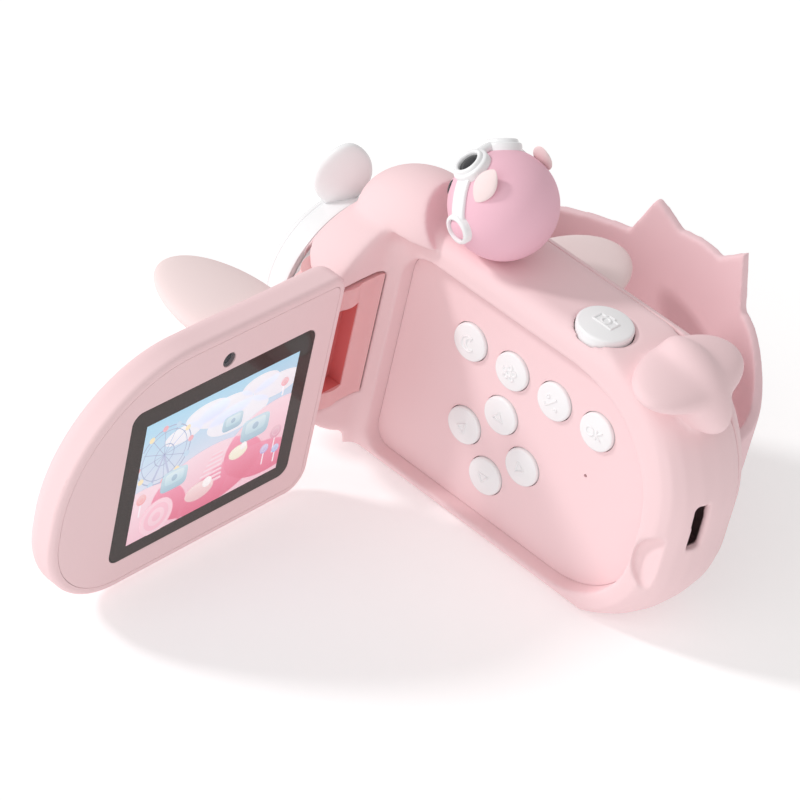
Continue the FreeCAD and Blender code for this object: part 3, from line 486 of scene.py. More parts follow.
def tube_along(bm, points, normals, radius, closed=False, sides=8):
    """A round line along 3-D points, closed at both ends unless it is a loop."""
    rings = []
    count = len(points)
    for index in range(count):
        before = points[index - 1] if index > 0 or closed else points[index]
        after = points[(index + 1) % count] if index < count - 1 or closed else points[index]
        tangent = (after - before).normalized()
        across = tangent.cross(normals[index]).normalized()
        out = across.cross(tangent)
        ring = []
        for side in range(sides):
            angle = 2 * math.pi * side / sides
            ring.append(bm.verts.new(points[index] + across * (radius * math.cos(angle))
                                     + out * (radius * math.sin(angle))))
        rings.append(ring)
    bridge_rings(bm, rings, closed)
    if not closed:
        bm.faces.new(rings[0])
        bm.faces.new(rings[-1])


def superellipse(half_wide, half_tall, power, count=28):
    points = []
    for index in range(count):
        angle = 2 * math.pi * index / count
        c, s = math.cos(angle), math.sin(angle)
        points.append((half_wide * math.copysign(abs(c) ** (2 / power), c),
                       half_tall * math.copysign(abs(s) ** (2 / power), s)))
    return points


def lobe(bm, matrix, length, half_wide, half_thick, fullness=0.55, power=2.3, steps=22):
    """A closed oval petal along the local Z axis, widest at its middle."""
    rings = []
    for step in range(1, steps):
        share = 0.5 - 0.5 * math.cos(math.pi * step / steps)
        swell = math.sin(math.pi * share) ** fullness
        ring = [bm.verts.new(matrix @ Vector((x, y, share * length)))
                for x, y in superellipse(half_wide * swell, half_thick * swell ** 0.7, power)]
        rings.append(ring)
    bridge_rings(bm, rings)
    for ring, height in ((rings[0], 0.0), (rings[-1], length)):
        tip = bm.verts.new(matrix @ Vector((0, 0, height)))
        for index in range(len(ring)):
            bm.faces.new((ring[index], ring[(index + 1) % len(ring)], tip))


def zone_weights(points, zones):
    """For each point, how strongly it lies in any of the (centre, half lengths, strength) zones."""
    weights = np.zeros(len(points))
    for centre, half, strength in zones:
        reach = np.linalg.norm((points - np.array(centre)) / np.array(half), axis=1)
        weights = np.maximum(weights, strength * np.clip(1.5 * (1.25 - reach), 0.0, 1.0))
    return weights


def softened(name, node, voxel, passes, zones=(), zone_passes=0):
    """A copy of a CAD node's form, remeshed evenly, with its edges eased and its blends flowing."""
    bm = bmesh.new()
    bm.from_mesh(frame["nodes"][node].data)
    bmesh.ops.remove_doubles(bm, verts=bm.verts[:], dist=1e-6)
    mesh = finish_mesh(bm, name)
    piece = bpy.data.objects.new(name, mesh)
    bpy.context.scene.collection.objects.link(piece)
    even = piece.modifiers.new("even skin", "REMESH")
    even.mode = "VOXEL"
    even.voxel_size = voxel
    applied(piece)
    if zones:
        coordinates = np.array([vertex.co for vertex in piece.data.vertices])
        weights = zone_weights(coordinates, zones)
        group = piece.vertex_groups.new(name="blend")
        for index in np.nonzero(weights > 0.01)[0]:
            group.add([int(index)], float(weights[index]), "REPLACE")
        flow = piece.modifiers.new("flowing blends", "SMOOTH")
        flow.factor = 0.5
        flow.iterations = zone_passes
        flow.vertex_group = "blend"
    ease = piece.modifiers.new("eased edges", "SMOOTH")
    ease.factor = 0.5
    ease.iterations = passes
    applied(piece)
    mesh = piece.data
    bpy.data.objects.remove(piece)
    return mesh


# ---------------------------------------------------------------- embossed icons

def ring_line(centre, radius, count=24):
    return arc(centre, radius, 0, 360 * (count - 1) / count, count - 1), True


def line(*points):
    return list(points), False


def crescent():
    outer = arc((0.0, 0.0), 2.0, 60, 330, 18)
    inner = arc((0.95, 0.35), 1.55, 300, 90, 14)
    return [(outer + inner, True), line((0.5, 1.0), (0.5, 2.2))]


def flower():
    turns = [math.radians(90 + 72 * k) for k in range(5)]
    petals = [ring_line((1.45 * math.cos(turn), 1.45 * math.sin(turn)), 0.62, 12) for turn in turns]
    return petals + [ring_line((0, 0), 0.75, 14)]


def pencil():
    return [line((-1.5, -1.5), (1.2, 1.6)), line((-1.5, -1.5), (-2.0, -0.6)),
            ring_line((-1.3, 1.3), 0.4, 10), ring_line((1.4, -1.2), 0.4, 10)]


def okay():
    return [ring_line((-1.35, 0.0), 1.15, 20), line((0.6, 1.25), (0.6, -1.25)),
            line((2.1, 1.25), (0.65, 0.0), (2.1, -1.25))]


def arrow(turn):
    c, s = math.cos(math.radians(turn)), math.sin(math.radians(turn))
    corners = [(-0.9, -1.5), (1.3, 0.0), (-0.9, 1.5)]
    return [([(x * c - y * s, x * s + y * c) for x, y in corners], True)]


def shutter_mark():
    body = [(-2.6, -1.7), (2.6, -1.7), (2.6, 1.3), (1.2, 1.3),
            (0.8, 2.0), (-0.8, 2.0), (-1.2, 1.3), (-2.6, 1.3)]
    return [(body, True), ring_line((0.0, -0.2), 1.05, 20)]


ICONS = {"power_key": crescent(), "effects_key": flower(), "edit_key": pencil(), "ok_key": okay(),
         "left_key": arrow(180), "up_key": arrow(90), "down_key": arrow(270), "right_key": arrow(0)}


def emboss(bm, strokes, matrix, crown, line_half):
    """Raises round lines on a crowned top; matrix has its Z axis out of the crown's highest point."""
    for points, closed in strokes:
        fine = []
        count = len(points)
        spans = count if closed else count - 1
        for index in range(spans):
            first, second = Vector(points[index]), Vector(points[(index + 1) % count])
            parts = max(1, int((second - first).length / 0.5))
            fine += [first.lerp(second, part / parts) for part in range(parts)]
        if not closed:
            fine.append(Vector(points[-1]))
        spots = []
        normals = []
        for spot in fine:
            x, y = spot.x * MM, spot.y * MM
            drop = crown - math.sqrt(crown * crown - x * x - y * y)
            spots.append(matrix @ Vector((x, y, -drop)))
            normals.append(matrix.to_3x3() @ Vector((0, 0, 1)))
        tube_along(bm, spots, normals, line_half, closed, 8)


def crowned_profile(radius, crown, ease, down_to):
    """From the crown's top to the lower edge of the cap's side, as (radius, height) with the top at 0."""
    profile = [(0.0, 0.0)]
    for step in range(1, 9):
        reach = (radius - ease) * step / 8
        profile.append((reach, math.sqrt(crown * crown - reach * reach) - crown))
    edge = profile[-1][1]
    profile += [(radius - ease + ease * math.sin(turn), edge - ease + ease * math.cos(turn))
                for turn in (math.pi / 8 * k for k in range(1, 5))]
    profile.append((radius, down_to))
    return profile


# ---------------------------------------------------------------- pieces

def build_keys():
    for node in KEY_NODES:
        low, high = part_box(node)
        middle = (low + high) / 2
        matrix = axis_frame((high.x, middle.y, middle.z), (1, 0, 0))
        flange = (high.y - low.y) / 2
        radius = flange - KEY_FLANGE
        depth = high.x - low.x
        behind = -(depth - KEY_BACK)
        flange_back = behind - KEY_FLANGE_THICK
        profile = crowned_profile(radius, sizes().key_crown, KEY_EDGE_ROUND, behind)
        profile += [(flange, behind), (flange, flange_back), (KEY_STEM_RADIUS, flange_back),
                    (KEY_STEM_RADIUS, -depth), (0.0, -depth)]
        bm = bmesh.new()
        lathe(bm, profile, matrix, 64)
        emboss(bm, ICONS[node], matrix, sizes().key_crown, sizes().icon_line)
        mesh = finish_mesh(bm, node + "_cap")
        crease(place_piece(node + "_cap", mesh, "white", BODY_OF[node], [node]))


def build_shutter():
    low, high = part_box("shutter_button")
    tab = (high.y - low.y) / 2
    radius = tab - SHUTTER_TAB
    middle = Vector((low.x + radius, (low.y + high.y) / 2, high.z))
    matrix = axis_frame(middle, (0, 0, 1))
    depth = high.z - low.z
    profile = crowned_profile(radius, SHUTTER_CROWN, SHUTTER_EDGE_ROUND, -SHUTTER_CAP_DEPTH)
    profile += [(SHUTTER_STEM_RADIUS, -SHUTTER_CAP_DEPTH - 0.05 * MM), (SHUTTER_STEM_RADIUS, -depth),
                (0.0, -depth)]
    bm = bmesh.new()
    lathe(bm, profile, matrix, 96)
    mark = [([(-y, x) for x, y in points], closed) for points, closed in shutter_mark()]
    emboss(bm, mark, matrix, SHUTTER_CROWN, 0.3 * MM)
    mesh = finish_mesh(bm, "shutter_cap")
    crease(place_piece("shutter_cap", mesh, "white", "shutter", ["shutter_button"]))


def body_zones():
    """Where the nose, the cowl and the tail flow into the body."""
    head_low, head_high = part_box("pilot_head")
    head = (head_low + head_high) / 2
    strap_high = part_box("hand_strap")[1]
    cowl = ((head.x, head.y - 26 * MM, DECK_Z - 1 * MM), (19 * MM, 13 * MM, 9 * MM), 1.0)
    tail = ((-4 * MM, strap_high.y - 6.5 * MM, DECK_Z - 2 * MM), (21 * MM, 15 * MM, 13 * MM), 0.9)
    edge = ((18 * MM, WALL_OF_NOSE_Y - 1 * MM, DECK_Z - 9 * MM), (15 * MM, 7 * MM, 8 * MM), 0.9)
    belly = ((15 * MM, WALL_OF_NOSE_Y - 1 * MM, 8 * MM), (13 * MM, 7 * MM, 8 * MM), 0.8)
    flank = ((-24 * MM, -26 * MM, 38 * MM), (11 * MM, 20 * MM, 34 * MM), 0.9)
    return [cowl, tail, edge, belly, flank]


def build_shells():
    for node, name in (("main_housing", "body_shell"), ("right_cover", "body_cover")):
        mesh = softened(name, node, sizes().voxel, sizes().skin_passes, body_zones(), sizes().blend_passes)
        place_piece(name, mesh, "shell_pink", BODY_OF[node], [node])
    carry("control_panel")


def build_strap():
    mesh = softened("strap_band", "hand_strap", sizes().strap_voxel, 14)
    place_piece("strap_band", mesh, "soft_pink", BODY_OF["hand_strap"], ["hand_strap"])


def build_wings():
    carry("left_wing")
    carry("right_wing")


def build_propeller():
    low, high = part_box("lens_barrel")
    axis_x = (low.x + high.x) / 2
    axis_z = (low.z + high.z) / 2
    matrix = axis_frame((axis_x, 0, axis_z), (0, 1, 0))
    slope = (RING_MOUTH_RADIUS - RING_LIP_RADIUS) / (RING_REAR_Y - RING_FRONT_Y)
    seam_at = 1.8
    outside = []
    for deep in (0.9, 1.6, seam_at, 2.0, 2.8, 5.0, 7.0, 8.3):
        pinch = RING_SEAM_DEPTH if deep == seam_at else 0.0
        outside.append((RING_LIP_RADIUS + slope * deep * MM - pinch, RING_FRONT_Y + deep * MM))
    seat_y = RING_FRONT_Y + RING_SEAT_DEPTH
    profile = [(RING_BORE_RADIUS, RING_REAR_Y), (RING_BORE_RADIUS, seat_y), (RING_SEAT_RADIUS, seat_y),
               (RING_SEAT_RADIUS, RING_FRONT_Y + 0.2 * MM), (RING_SEAT_RADIUS + 0.3 * MM, RING_FRONT_Y),
               (RING_LIP_RADIUS - 0.3 * MM, RING_FRONT_Y + 0.15 * MM)]
    profile += outside
    profile += [(RING_MOUTH_RADIUS - 0.35 * MM, RING_REAR_Y - 0.25 * MM),
                (RING_MOUTH_RADIUS - 0.9 * MM, RING_REAR_Y)]
    bm = bmesh.new()
    lathe_ring(bm, profile, matrix, 128)
    centre = Matrix.Translation((axis_x, 0, axis_z))
    outwards = Matrix.Translation((0, BLADE_Y, BLADE_ROOT))
    twist = Matrix.Rotation(-sizes().blade_twist, 4, "Z")
    for index in range(3):
        turn = Matrix.Rotation(math.radians(120 * index), 4, "Y")
        place = centre @ turn @ outwards @ twist
        lobe(bm, place, BLADE_TIP - BLADE_ROOT, BLADE_HALF_WIDTH, BLADE_HALF_THICK)
    mesh = finish_mesh(bm, "propeller_ring")
    crease(place_piece("propeller_ring", mesh, "white", BODY_OF["propeller"], ["propeller"]), 40)


def build_lens():
    for node in ("lens_barrel", "lens_bezel", "lens_glass", "camera_module"):
        carry(node)


def build_door():
    for node in ("door_back", "door_bezel"):
        carry(node)
    # The hinge block's material paints coral shade inside its slot.
    carry("hinge_knuckle", "hinge_block")
    carry("selfie_window")


# ---------------------------------------------------------------- the pilot

def head_frame():
    low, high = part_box("pilot_head")
    radius = (high.x - low.x) / 2
    centre = Vector(((low.x + high.x) / 2, (low.y + high.y) / 2, high.z - radius))
    return centre, radius


def on_head(direction, above=0.0):
    centre, radius = head_frame()
    return centre + Vector(direction).normalized() * (radius + above)


def sided(direction, side):
    return Vector((direction[0] * side, direction[1], direction[2]))


GOGGLES = ((0.50, -0.53, 0.72), (-0.36, -0.56, 0.76))
EAR_CUP = (0.97, -0.13, -0.21)
# A goggle ring's section: (in from its outer radius, height above the head), in millimetres.
GOGGLE_SECTION = ((0, -1.6), (0, 0.7), (0.15, 1.0), (0.45, 1.15), (0.8, 1.2), (0.9, 1.8),
                  (1.1, 2.05), (1.5, 2.1), (1.8, 1.95), (1.95, 1.5), (1.95, -1.6))
BAND_ROUTE = ((0.60, -0.46, 0.66), (0.74, -0.42, 0.53), (0.86, -0.35, 0.38), (0.93, -0.28, 0.24),
              (0.965, -0.21, 0.06), (0.975, -0.16, -0.08))


def build_goggles():
    outer = sizes().goggle_radius
    bm = bmesh.new()
    for direction in GOGGLES:
        matrix = axis_frame(on_head(direction), direction)
        section = [(outer - inwards * MM, height * MM) for inwards, height in GOGGLE_SECTION]
        lathe_ring(bm, section, matrix, 64)
    left, right = (on_head(direction, 0.6 * MM) for direction in GOGGLES)
    centre, radius = head_frame()
    points = []
    normals = []
    for step in range(9):
        middle = left.lerp(right, 0.34 + 0.32 * step / 8)
        out = (middle - centre).normalized()
        points.append(centre + out * (radius + 0.75 * MM))
        normals.append(out)
    tube_along(bm, points, normals, 1.15 * MM, sides=14)
    mesh = finish_mesh(bm, "goggle_frame")
    crease(place_piece("goggle_frame", mesh, "white", "housing", ["goggles"]), 50)


def build_goggle_lenses():
    bm = bmesh.new()
    for direction in GOGGLES:
        matrix = axis_frame(on_head(direction, 0.9 * MM), direction)
        lathe(bm, [(0, 0.75 * MM), (1.0 * MM, 0.72 * MM), (1.8 * MM, 0.6 * MM), (2.35 * MM, 0.38 * MM),
                   (2.66 * MM, 0.1 * MM), (2.66 * MM, -1.5 * MM), (0, -1.5 * MM)], matrix, 48)
    mesh = finish_mesh(bm, "goggle_glass")
    crease(place_piece("goggle_glass", mesh, "black", "housing", ["goggle_lenses"]), 40)


def build_headset():
    centre, radius = head_frame()
    bm = bmesh.new()
    for side in (1, -1):
        route = [sided(direction, side).normalized() for direction in BAND_ROUTE]
        rings = []
        for index in range(len(route) * 4 - 3):
            share = index / 4
            first = min(int(share), len(route) - 2)
            out = route[first].lerp(route[first + 1], share - first).normalized()
            ahead = (route[min(first + 1, len(route) - 1)] - route[first]).normalized()
            across = out.cross(ahead).normalized()
            spot = centre + out * (radius + 0.25 * MM)
            rings.append([bm.verts.new(spot + across * x + out * y)
                          for x, y in superellipse(2.0 * MM, 0.62 * MM, 4.0, 24)])
        bridge_rings(bm, rings)
        bm.faces.new(rings[0])
        bm.faces.new(rings[-1])
    mesh = finish_mesh(bm, "headset_strap")
    crease(place_piece("headset_strap", mesh, "white", "housing", ["headset_band"]), 40)


def build_ear_cups():
    bm = bmesh.new()
    pads = bmesh.new()
    for side in (1, -1):
        direction = sided(EAR_CUP, side)
        matrix = axis_frame(on_head(direction), direction)
        lathe_ring(bm, [(3.7 * MM, -1.2 * MM), (3.7 * MM, 0.7 * MM), (3.5 * MM, 1.15 * MM),
                        (3.1 * MM, 1.35 * MM), (2.75 * MM, 1.3 * MM), (2.6 * MM, 0.9 * MM),
                        (2.6 * MM, -1.2 * MM)], matrix, 48)
        lathe(pads, [(0, 1.25 * MM), (0.9 * MM, 1.2 * MM), (1.7 * MM, 1.05 * MM), (2.3 * MM, 0.75 * MM),
                     (2.5 * MM, 0.4 * MM), (2.5 * MM, -0.8 * MM), (0, -0.8 * MM)], matrix, 40)
    rings = finish_mesh(bm, "ear_cup_rings")
    crease(place_piece("ear_cup_rings", rings, "white", "housing", ["ear_cups"]), 50)
    domes = finish_mesh(pads, "ear_cup_pads")
    crease(place_piece("ear_cup_pads", domes, "pilot_pink", "housing", ["ear_pads"]), 40)


def build_pilot_ears():
    bm = bmesh.new()
    for side in (1, -1):
        root = on_head(sided((0.88, 0.02, 0.42), side), 0.1 * MM)
        tip = on_head(sided((0.52, 0.06, 0.85), side), 3.0 * MM)
        along = tip - root
        out = (root - head_frame()[0]).normalized()
        matrix = axis_frame(root, along, out.cross(along))
        lobe(bm, matrix, along.length, 1.0 * MM, 2.9 * MM, 0.9, 2.0)
    mesh = finish_mesh(bm, "pilot_ear_leaves")
    place_piece("pilot_ear_leaves", mesh, "pale_pink", "housing", ["pilot_ears"])


def build_pilot_face():
    bm = bmesh.new()
    for side in (1, -1):
        direction = sided((0.53, -0.86, 0.08), side)
        matrix = axis_frame(on_head(direction, -0.5 * MM), direction) @ Matrix.Diagonal((0.8, 1.1, 1.0, 1.0))
        lathe(bm, [(0, 0.95 * MM), (0.8 * MM, 0.9 * MM), (1.4 * MM, 0.72 * MM), (1.8 * MM, 0.4 * MM),
                   (1.9 * MM, 0.0), (1.6 * MM, -0.5 * MM), (0, -0.6 * MM)], matrix, 40)
    mesh = finish_mesh(bm, "pilot_eye_domes")
    place_piece("pilot_eye_domes", mesh, "black", "housing", ["pilot_eyes"])
    carry("pilot_head")
    carry("pilot_snout")


# ---------------------------------------------------------------- the screen's picture

def clip_to_screen(points, wide, tall):
    """The part of a convex or simple outline that lies on the screen."""
    limits = ((0, 0.0, 1), (0, wide, -1), (1, 0.0, 1), (1, tall, -1))
    for axis, limit, sign in limits:
        kept = []
        for index in range(len(points)):
            here, before = points[index], points[index - 1]
            here_in = sign * (here[axis] - limit) >= 0
            before_in = sign * (before[axis] - limit) >= 0
            if here_in != before_in:
                share = (limit - before[axis]) / (here[axis] - before[axis])
                kept.append(tuple(before[k] + share * (here[k] - before[k]) for k in (0, 1)))
            if here_in:
                kept.append(here)
        points = kept
        if len(points) < 3:
            return []
    return points


def oval(centre, half_wide, half_tall, count=40):
    return [(centre[0] + half_wide * math.cos(2 * math.pi * k / count),
             centre[1] + half_tall * math.sin(2 * math.pi * k / count)) for k in range(count)]


def stroke(first, second, width):
    ahead = Vector(second) - Vector(first)
    side = Vector((-ahead.y, ahead.x)).normalized() * width / 2
    return [tuple(Vector(first) + side), tuple(Vector(first) - side), tuple(Vector(second) - side),
            tuple(Vector(second) + side)]


def hoop(centre, radius, width, count=36):
    """A thin ring as short strokes."""
    spots = oval(centre, radius, radius, count)
    return [stroke(spots[k - 1], spots[k], width) for k in range(count)]


def rounded_block(centre, half_wide, half_tall):
    return [(centre[0] + x, centre[1] + y) for x, y in superellipse(half_wide, half_tall, 4.5, 32)]


def picture_shapes(wide, tall):
    """(outline, lower tint, upper tint) of every shape, from back to front, in millimetres on the screen."""
    shapes = [([(0, 0), (wide, 0), (wide, tall), (0, tall)], (0.93, 0.78, 0.86), (0.40, 0.70, 0.88))]
    cloud, cloud_top = (0.86, 0.86, 0.93), (0.92, 0.94, 0.98)
    for x, y, half in ((20, 30, 7), (26, 28, 9), (37, 31, 6), (43, 28, 8), (13, 27, 6), (31, 24, 10)):
        shapes.append((oval((x, y), half, 0.42 * half), cloud, cloud_top))
    steel_blue = (0.42, 0.50, 0.66)
    wheel = (7.6, 23.4)
    for radius, width in ((8.2, 0.34), (7.0, 0.22), (3.0, 0.25)):
        shapes += [(outline, steel_blue, steel_blue) for outline in hoop(wheel, radius, width)]
    for step in range(12):
        angle = math.radians(30 * step + 8)
        rim = (wheel[0] + 8.2 * math.cos(angle), wheel[1] + 8.2 * math.sin(angle))
        shapes.append((stroke(wheel, rim, 0.18), steel_blue, steel_blue))
    for foot in (3.2, 12.6):
        shapes.append((stroke(wheel, (foot, 10.5), 0.55), (0.5, 0.56, 0.74), (0.5, 0.56, 0.74)))
    for step in range(12):
        angle = math.radians(30 * step + 8)
        rim = (wheel[0] + 8.2 * math.cos(angle), wheel[1] + 8.2 * math.sin(angle))
        tint = ((0.86, 0.45, 0.50), (0.93, 0.80, 0.52), (0.55, 0.72, 0.86))[step % 3]
        shapes.append((oval(rim, 0.85, 0.85, 16), tint, tint))
    hill, hill_top = (0.84, 0.46, 0.56), (0.93, 0.72, 0.79)
    for x, y, half_wide, half_tall in ((45, 12, 16, 11), (24, 9, 18, 9.5), (3, 4, 15, 11.5), (36, 1, 20, 11)):
        shapes.append((oval((x, y), half_wide, half_tall, 56), hill, hill_top))
    for step in range(7):
        half = 4.6 - 0.45 * step
        y = 6.5 + 1.35 * step
        x = 24.5 + 0.3 * step
        shapes.append(([(x - half, y), (x + half, y), (x + half - 0.3, y + 0.85), (x - half + 0.3, y + 0.85)],
                       (0.88, 0.52, 0.62), (0.97, 0.80, 0.86)))
    for x, y, size in ((12.5, 14.0, 4.2), (38.0, 17.5, 4.6), (29.5, 23.0, 3.2)):
        shapes.append((rounded_block((x, y), size, 0.72 * size), (0.36, 0.55, 0.66), (0.62, 0.79, 0.86)))
        window = rounded_block((x, y + 0.15 * size), 0.72 * size, 0.42 * size)
        shapes.append((window, (0.50, 0.70, 0.78), (0.72, 0.86, 0.91)))
        porthole = oval((x, y + 0.12 * size), 0.22 * size, 0.22 * size, 20)
        shapes.append((porthole, (0.34, 0.50, 0.62), (0.46, 0.62, 0.74)))
    for x, y, size, tint in ((46.0, 12.5, 1.9, (0.72, 0.34, 0.46)), (43.0, 8.6, 1.4, (0.52, 0.44, 0.74)),
                             (2.4, 12.6, 1.5, (0.86, 0.36, 0.38)), (47.0, 7.0, 1.2, (0.40, 0.48, 0.80)),
                             (45.6, 27.6, 1.2, (0.88, 0.44, 0.50))):
        shapes.append((stroke((x, y - 3.4 * size), (x, y), 0.35), (0.93, 0.88, 0.93), (0.93, 0.88, 0.93)))
        lighter = tuple(0.6 * channel + 0.38 for channel in tint)
        shapes.append((oval((x, y), size, size, 28), tint, lighter))
        shapes += [(outline, lighter, lighter) for outline in hoop((x, y), 0.55 * size, 0.16, 16)]
    for radius in (5.2, 3.9, 2.6, 1.3):
        pale = (0.90, 0.60, 0.68) if radius in (5.2, 2.6) else (0.86, 0.50, 0.60)
        paler = tuple(min(1, channel + 0.06) for channel in pale)
        shapes.append((oval((8.5, 4.8), radius, radius, 40), pale, paler))
    bodies = (((22.0, 6.0), 4.6, 2.7, (0.80, 0.52, 0.54), (0.93, 0.75, 0.75)),
              ((33.5, 12.2), 3.0, 2.0, (0.85, 0.82, 0.66), (0.95, 0.93, 0.80)))
    for centre, half_wide, half_tall, tint, top in bodies:
        shapes.append((oval(centre, half_wide, half_tall), tint, top))
        knob_at = (centre[0] + 0.5 * half_wide, centre[1] + 0.6 * half_tall)
        knob = oval(knob_at, 0.55 * half_tall, 0.55 * half_tall, 24)
        shapes.append((knob, (0.93, 0.90, 0.90), (0.98, 0.97, 0.97)))
    return shapes


def build_picture():
    low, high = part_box("display_glass")
    margin_left, margin_right, margin_low, margin_high = 5.0 * MM, 4.4 * MM, 3.7 * MM, 5.1 * MM
    wide = (high.x - low.x - margin_left - margin_right) / MM
    tall = (high.z - low.z - margin_low - margin_high) / MM
    bm = bmesh.new()
    tint_layer = bm.loops.layers.float_color.new("tint")
    layer = 0.0
    last = None
    for outline, tint, top in picture_shapes(wide, tall):
        points = clip_to_screen(outline, wide, tall)
        if not points:
            continue
        if last is None or (tint, top) != last:
            layer += 0.004 * MM
        last = (tint, top)
        upper = [bm.verts.new((high.x - margin_left - u * MM, high.y + layer, low.z + margin_low + v * MM))
                 for u, v in points]
        lower = [bm.verts.new((vertex.co.x, high.y - 0.05 * MM, vertex.co.z)) for vertex in upper]
        faces = [bm.faces.new(upper), bm.faces.new(lower[::-1])]
        bottom = min(v for _, v in outline)
        span = max(v for _, v in outline) - bottom
        for index in range(len(upper)):
            after = (index + 1) % len(upper)
            faces.append(bm.faces.new((upper[after], upper[index], lower[index], lower[after])))
        for face in faces:
            for corner in face.loops:
                height = (corner.vert.co.z - low.z - margin_low) / MM
                share = min(1.0, max(0.0, (height - bottom) / max(span, 1e-6)))
                colour = [tint[k] + share * (top[k] - tint[k]) for k in range(3)]
                corner[tint_layer] = (*colour, 1.0)
    mesh = finish_mesh(bm, "screen_picture")
    piece = place_piece("screen_picture", mesh, "picture", "screen_door")
    crease(piece, 20)
    carry("display_glass")
    carry("display_module")


def build_inside():
    for node in ("main_board", "key_mat", "battery", "speaker", "microphone", "usb_socket", "card_socket",
                 "shutter_switch", "housing_screws", "door_screws", "hinge_pin", "hinge_washers",
                 "selfie_camera"):
        carry(node)


# ---------------------------------------------------------------- stage

def add_light(name, kind, direction, energy, spread):
    lamp = bpy.data.lights.new(name, kind)
    lamp.energy = energy
    lamp.angle = spread
    holder = bpy.data.objects.new(name, lamp)
    holder.matrix_world = Vector(direction).to_track_quat("Z", "Y").to_matrix().to_4x4()
    bpy.context.scene.collection.objects.link(holder)


def build_stage():
    scene = bpy.context.scene
    light = scene.camcorder_light
    bm = bmesh.new()
    bmesh.ops.create_grid(bm, x_segments=8, y_segments=8, size=2.0)
    floor = bpy.data.objects.new("floor", finish_mesh(bm, "floor"))
    scene.collection.objects.link(floor)
    floor.location.z = CAD_LOW.z - 0.2 * MM
    material, shader, place = start_material("pale_floor")
    drift = noise(material, place, 0.3, 2.0)
    pale = varied_colour(material, drift, (0.94, 0.94, 0.94), 0.004)
    material.node_tree.links.new(pale, shader.inputs["Base Color"])
    shader.inputs["Roughness"].default_value = 0.9
    shader.inputs["Emission Color"].default_value = (1.0, 1.0, 1.0, 1.0)
    shader.inputs["Emission Strength"].default_value = 0.22
    shader.inputs["Specular IOR Level"].default_value = 0.1
    floor.data.materials.append(material)
    world = bpy.data.worlds.new("studio")
    world.use_nodes = True
    world.node_tree.nodes["Background"].inputs["Color"].default_value = (1.0, 0.99, 0.985, 1)
    world.node_tree.nodes["Background"].inputs["Strength"].default_value = light.sky
    scene.world = world
    add_light("key light", "SUN", KEY_LIGHT_FROM, light.key, math.radians(8))
    add_light("fill light", "SUN", FILL_LIGHT_FROM, light.fill, math.radians(60))
    scene.view_settings.view_transform = "Standard"


def build_camera():
    scene = bpy.context.scene
    light = scene.camcorder_light
    lens = bpy.data.cameras.new("camera")
    lens.sensor_width = 36.0
    lens.lens = light.focal
    lens.clip_start = 0.05
    camera = bpy.data.objects.new("camera", lens)
    scene.collection.objects.link(camera)
    a, e = light.azimuth, light.elevation
    back = Vector((math.sin(a) * math.cos(e), -math.cos(a) * math.cos(e), math.sin(e)))
    level = Vector((math.cos(a), math.sin(a), 0.0))
    right = (Matrix.Rotation(light.roll, 3, back) @ level).normalized()
    matrix = Matrix((right, back.cross(right), back)).transposed().to_4x4()
    matrix.translation = Vector(CAMERA_AIM) + back * light.distance
    camera.matrix_world = matrix
    scene.camera = camera


# ---------------------------------------------------------------- operators

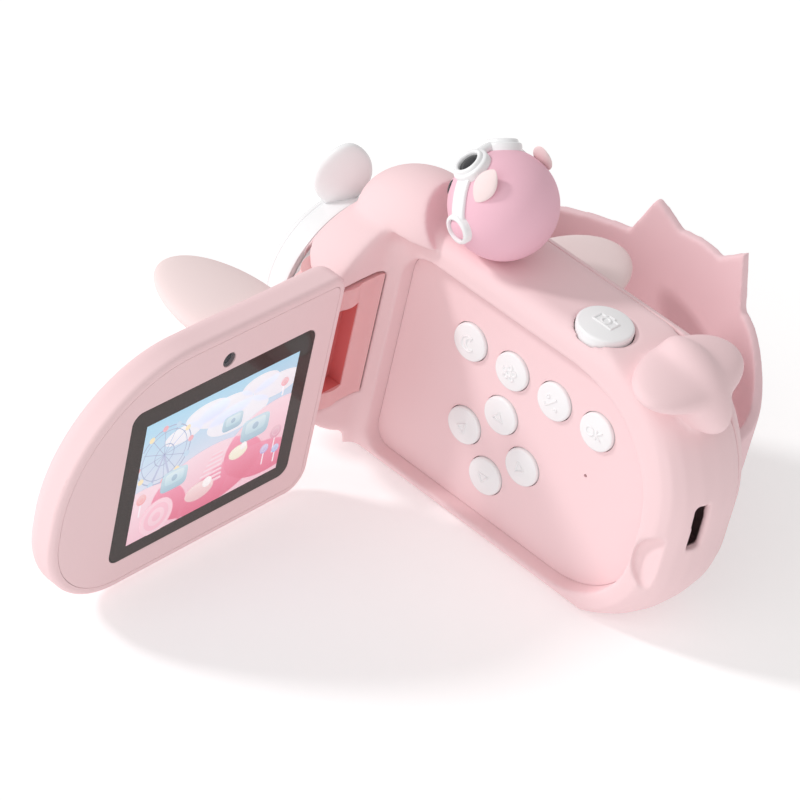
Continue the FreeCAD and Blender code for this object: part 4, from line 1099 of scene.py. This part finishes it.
STEPS = (
    ("materials", "Materials", "Makes every plastic, metal and glass finish", make_materials),
    ("shells", "Body shells", "Makes the moulded body shells and the control panel", build_shells),
    ("keys", "Keys", "Makes the eight round keys with embossed icons", build_keys),
    ("shutter", "Shutter button", "Makes the crowned shutter button", build_shutter),
    ("door", "Screen door", "Finishes the screen door and its hinge block", build_door),
    ("picture", "Screen", "Makes the lit picture on the screen glass", build_picture),
    ("propeller", "Propeller", "Makes the propeller ring with three petal blades", build_propeller),
    ("lens", "Lens", "Finishes the lens barrel, bezel, glass and module", build_lens),
    ("wings", "Wings", "Finishes both wings", build_wings),
    ("goggles", "Goggles", "Makes the pilot's goggle frame", build_goggles),
    ("goggle_lenses", "Goggle lenses", "Makes the black lenses of the goggles", build_goggle_lenses),
    ("headset", "Headset", "Makes the white headset bands", build_headset),
    ("ear_cups", "Ear cups", "Makes the ear cups and their pink pads", build_ear_cups),
    ("pilot_ears", "Pilot's ears", "Makes the leaf-shaped ears", build_pilot_ears),
    ("pilot_face", "Pilot's face", "Makes the eyes and finishes the head and snout", build_pilot_face),
    ("strap", "Hand strap", "Makes the soft hand strap", build_strap),
    ("inside", "Inner parts", "Finishes the boards, battery, sockets and fasteners", build_inside),
    ("stage", "Stage", "Makes the floor, the light and the surround", build_stage),
    ("camera", "Camera", "Places the camera", build_camera),
)


def operator_class(key, label, words, action):
    """An operator that runs one building step."""
    def execute(self, context):
        action()
        return {"FINISHED"}

    return type("CAMCORDER_OT_" + key, (bpy.types.Operator,), {
        "__doc__": words, "bl_idname": "camcorder." + key, "bl_label": label, "execute": execute})


OPERATORS = tuple(operator_class(*step) for step in STEPS)


class CAMCORDER_PT_panel(bpy.types.Panel):
    """Lists the building steps in their order"""
    bl_label = "Toy Plane Camcorder"
    bl_space_type = "VIEW_3D"
    bl_region_type = "UI"
    bl_category = "Camcorder"

    def draw(self, context):
        scene = context.scene
        for group in (scene.camcorder_colours, scene.camcorder_sizes, scene.camcorder_light):
            column = self.layout.column(align=True)
            for name in group.__annotations__:
                column.prop(group, name)
        for operator in OPERATORS:
            self.layout.operator(operator.bl_idname)


CLASSES = (CamcorderColours, CamcorderSizes, CamcorderLight) + OPERATORS + (CAMCORDER_PT_panel,)


def register():
    for each in CLASSES:
        bpy.utils.register_class(each)
    bpy.types.Scene.camcorder_colours = PointerProperty(type=CamcorderColours)
    bpy.types.Scene.camcorder_sizes = PointerProperty(type=CamcorderSizes)
    bpy.types.Scene.camcorder_light = PointerProperty(type=CamcorderLight)


def unregister():
    del bpy.types.Scene.camcorder_light
    del bpy.types.Scene.camcorder_sizes
    del bpy.types.Scene.camcorder_colours
    for each in reversed(CLASSES):
        bpy.utils.unregister_class(each)


def main():
    register()
    for operator in OPERATORS:
        group, name = operator.bl_idname.split(".")
        getattr(getattr(bpy.ops, group), name)()


if __name__ == "__main__":
    main()
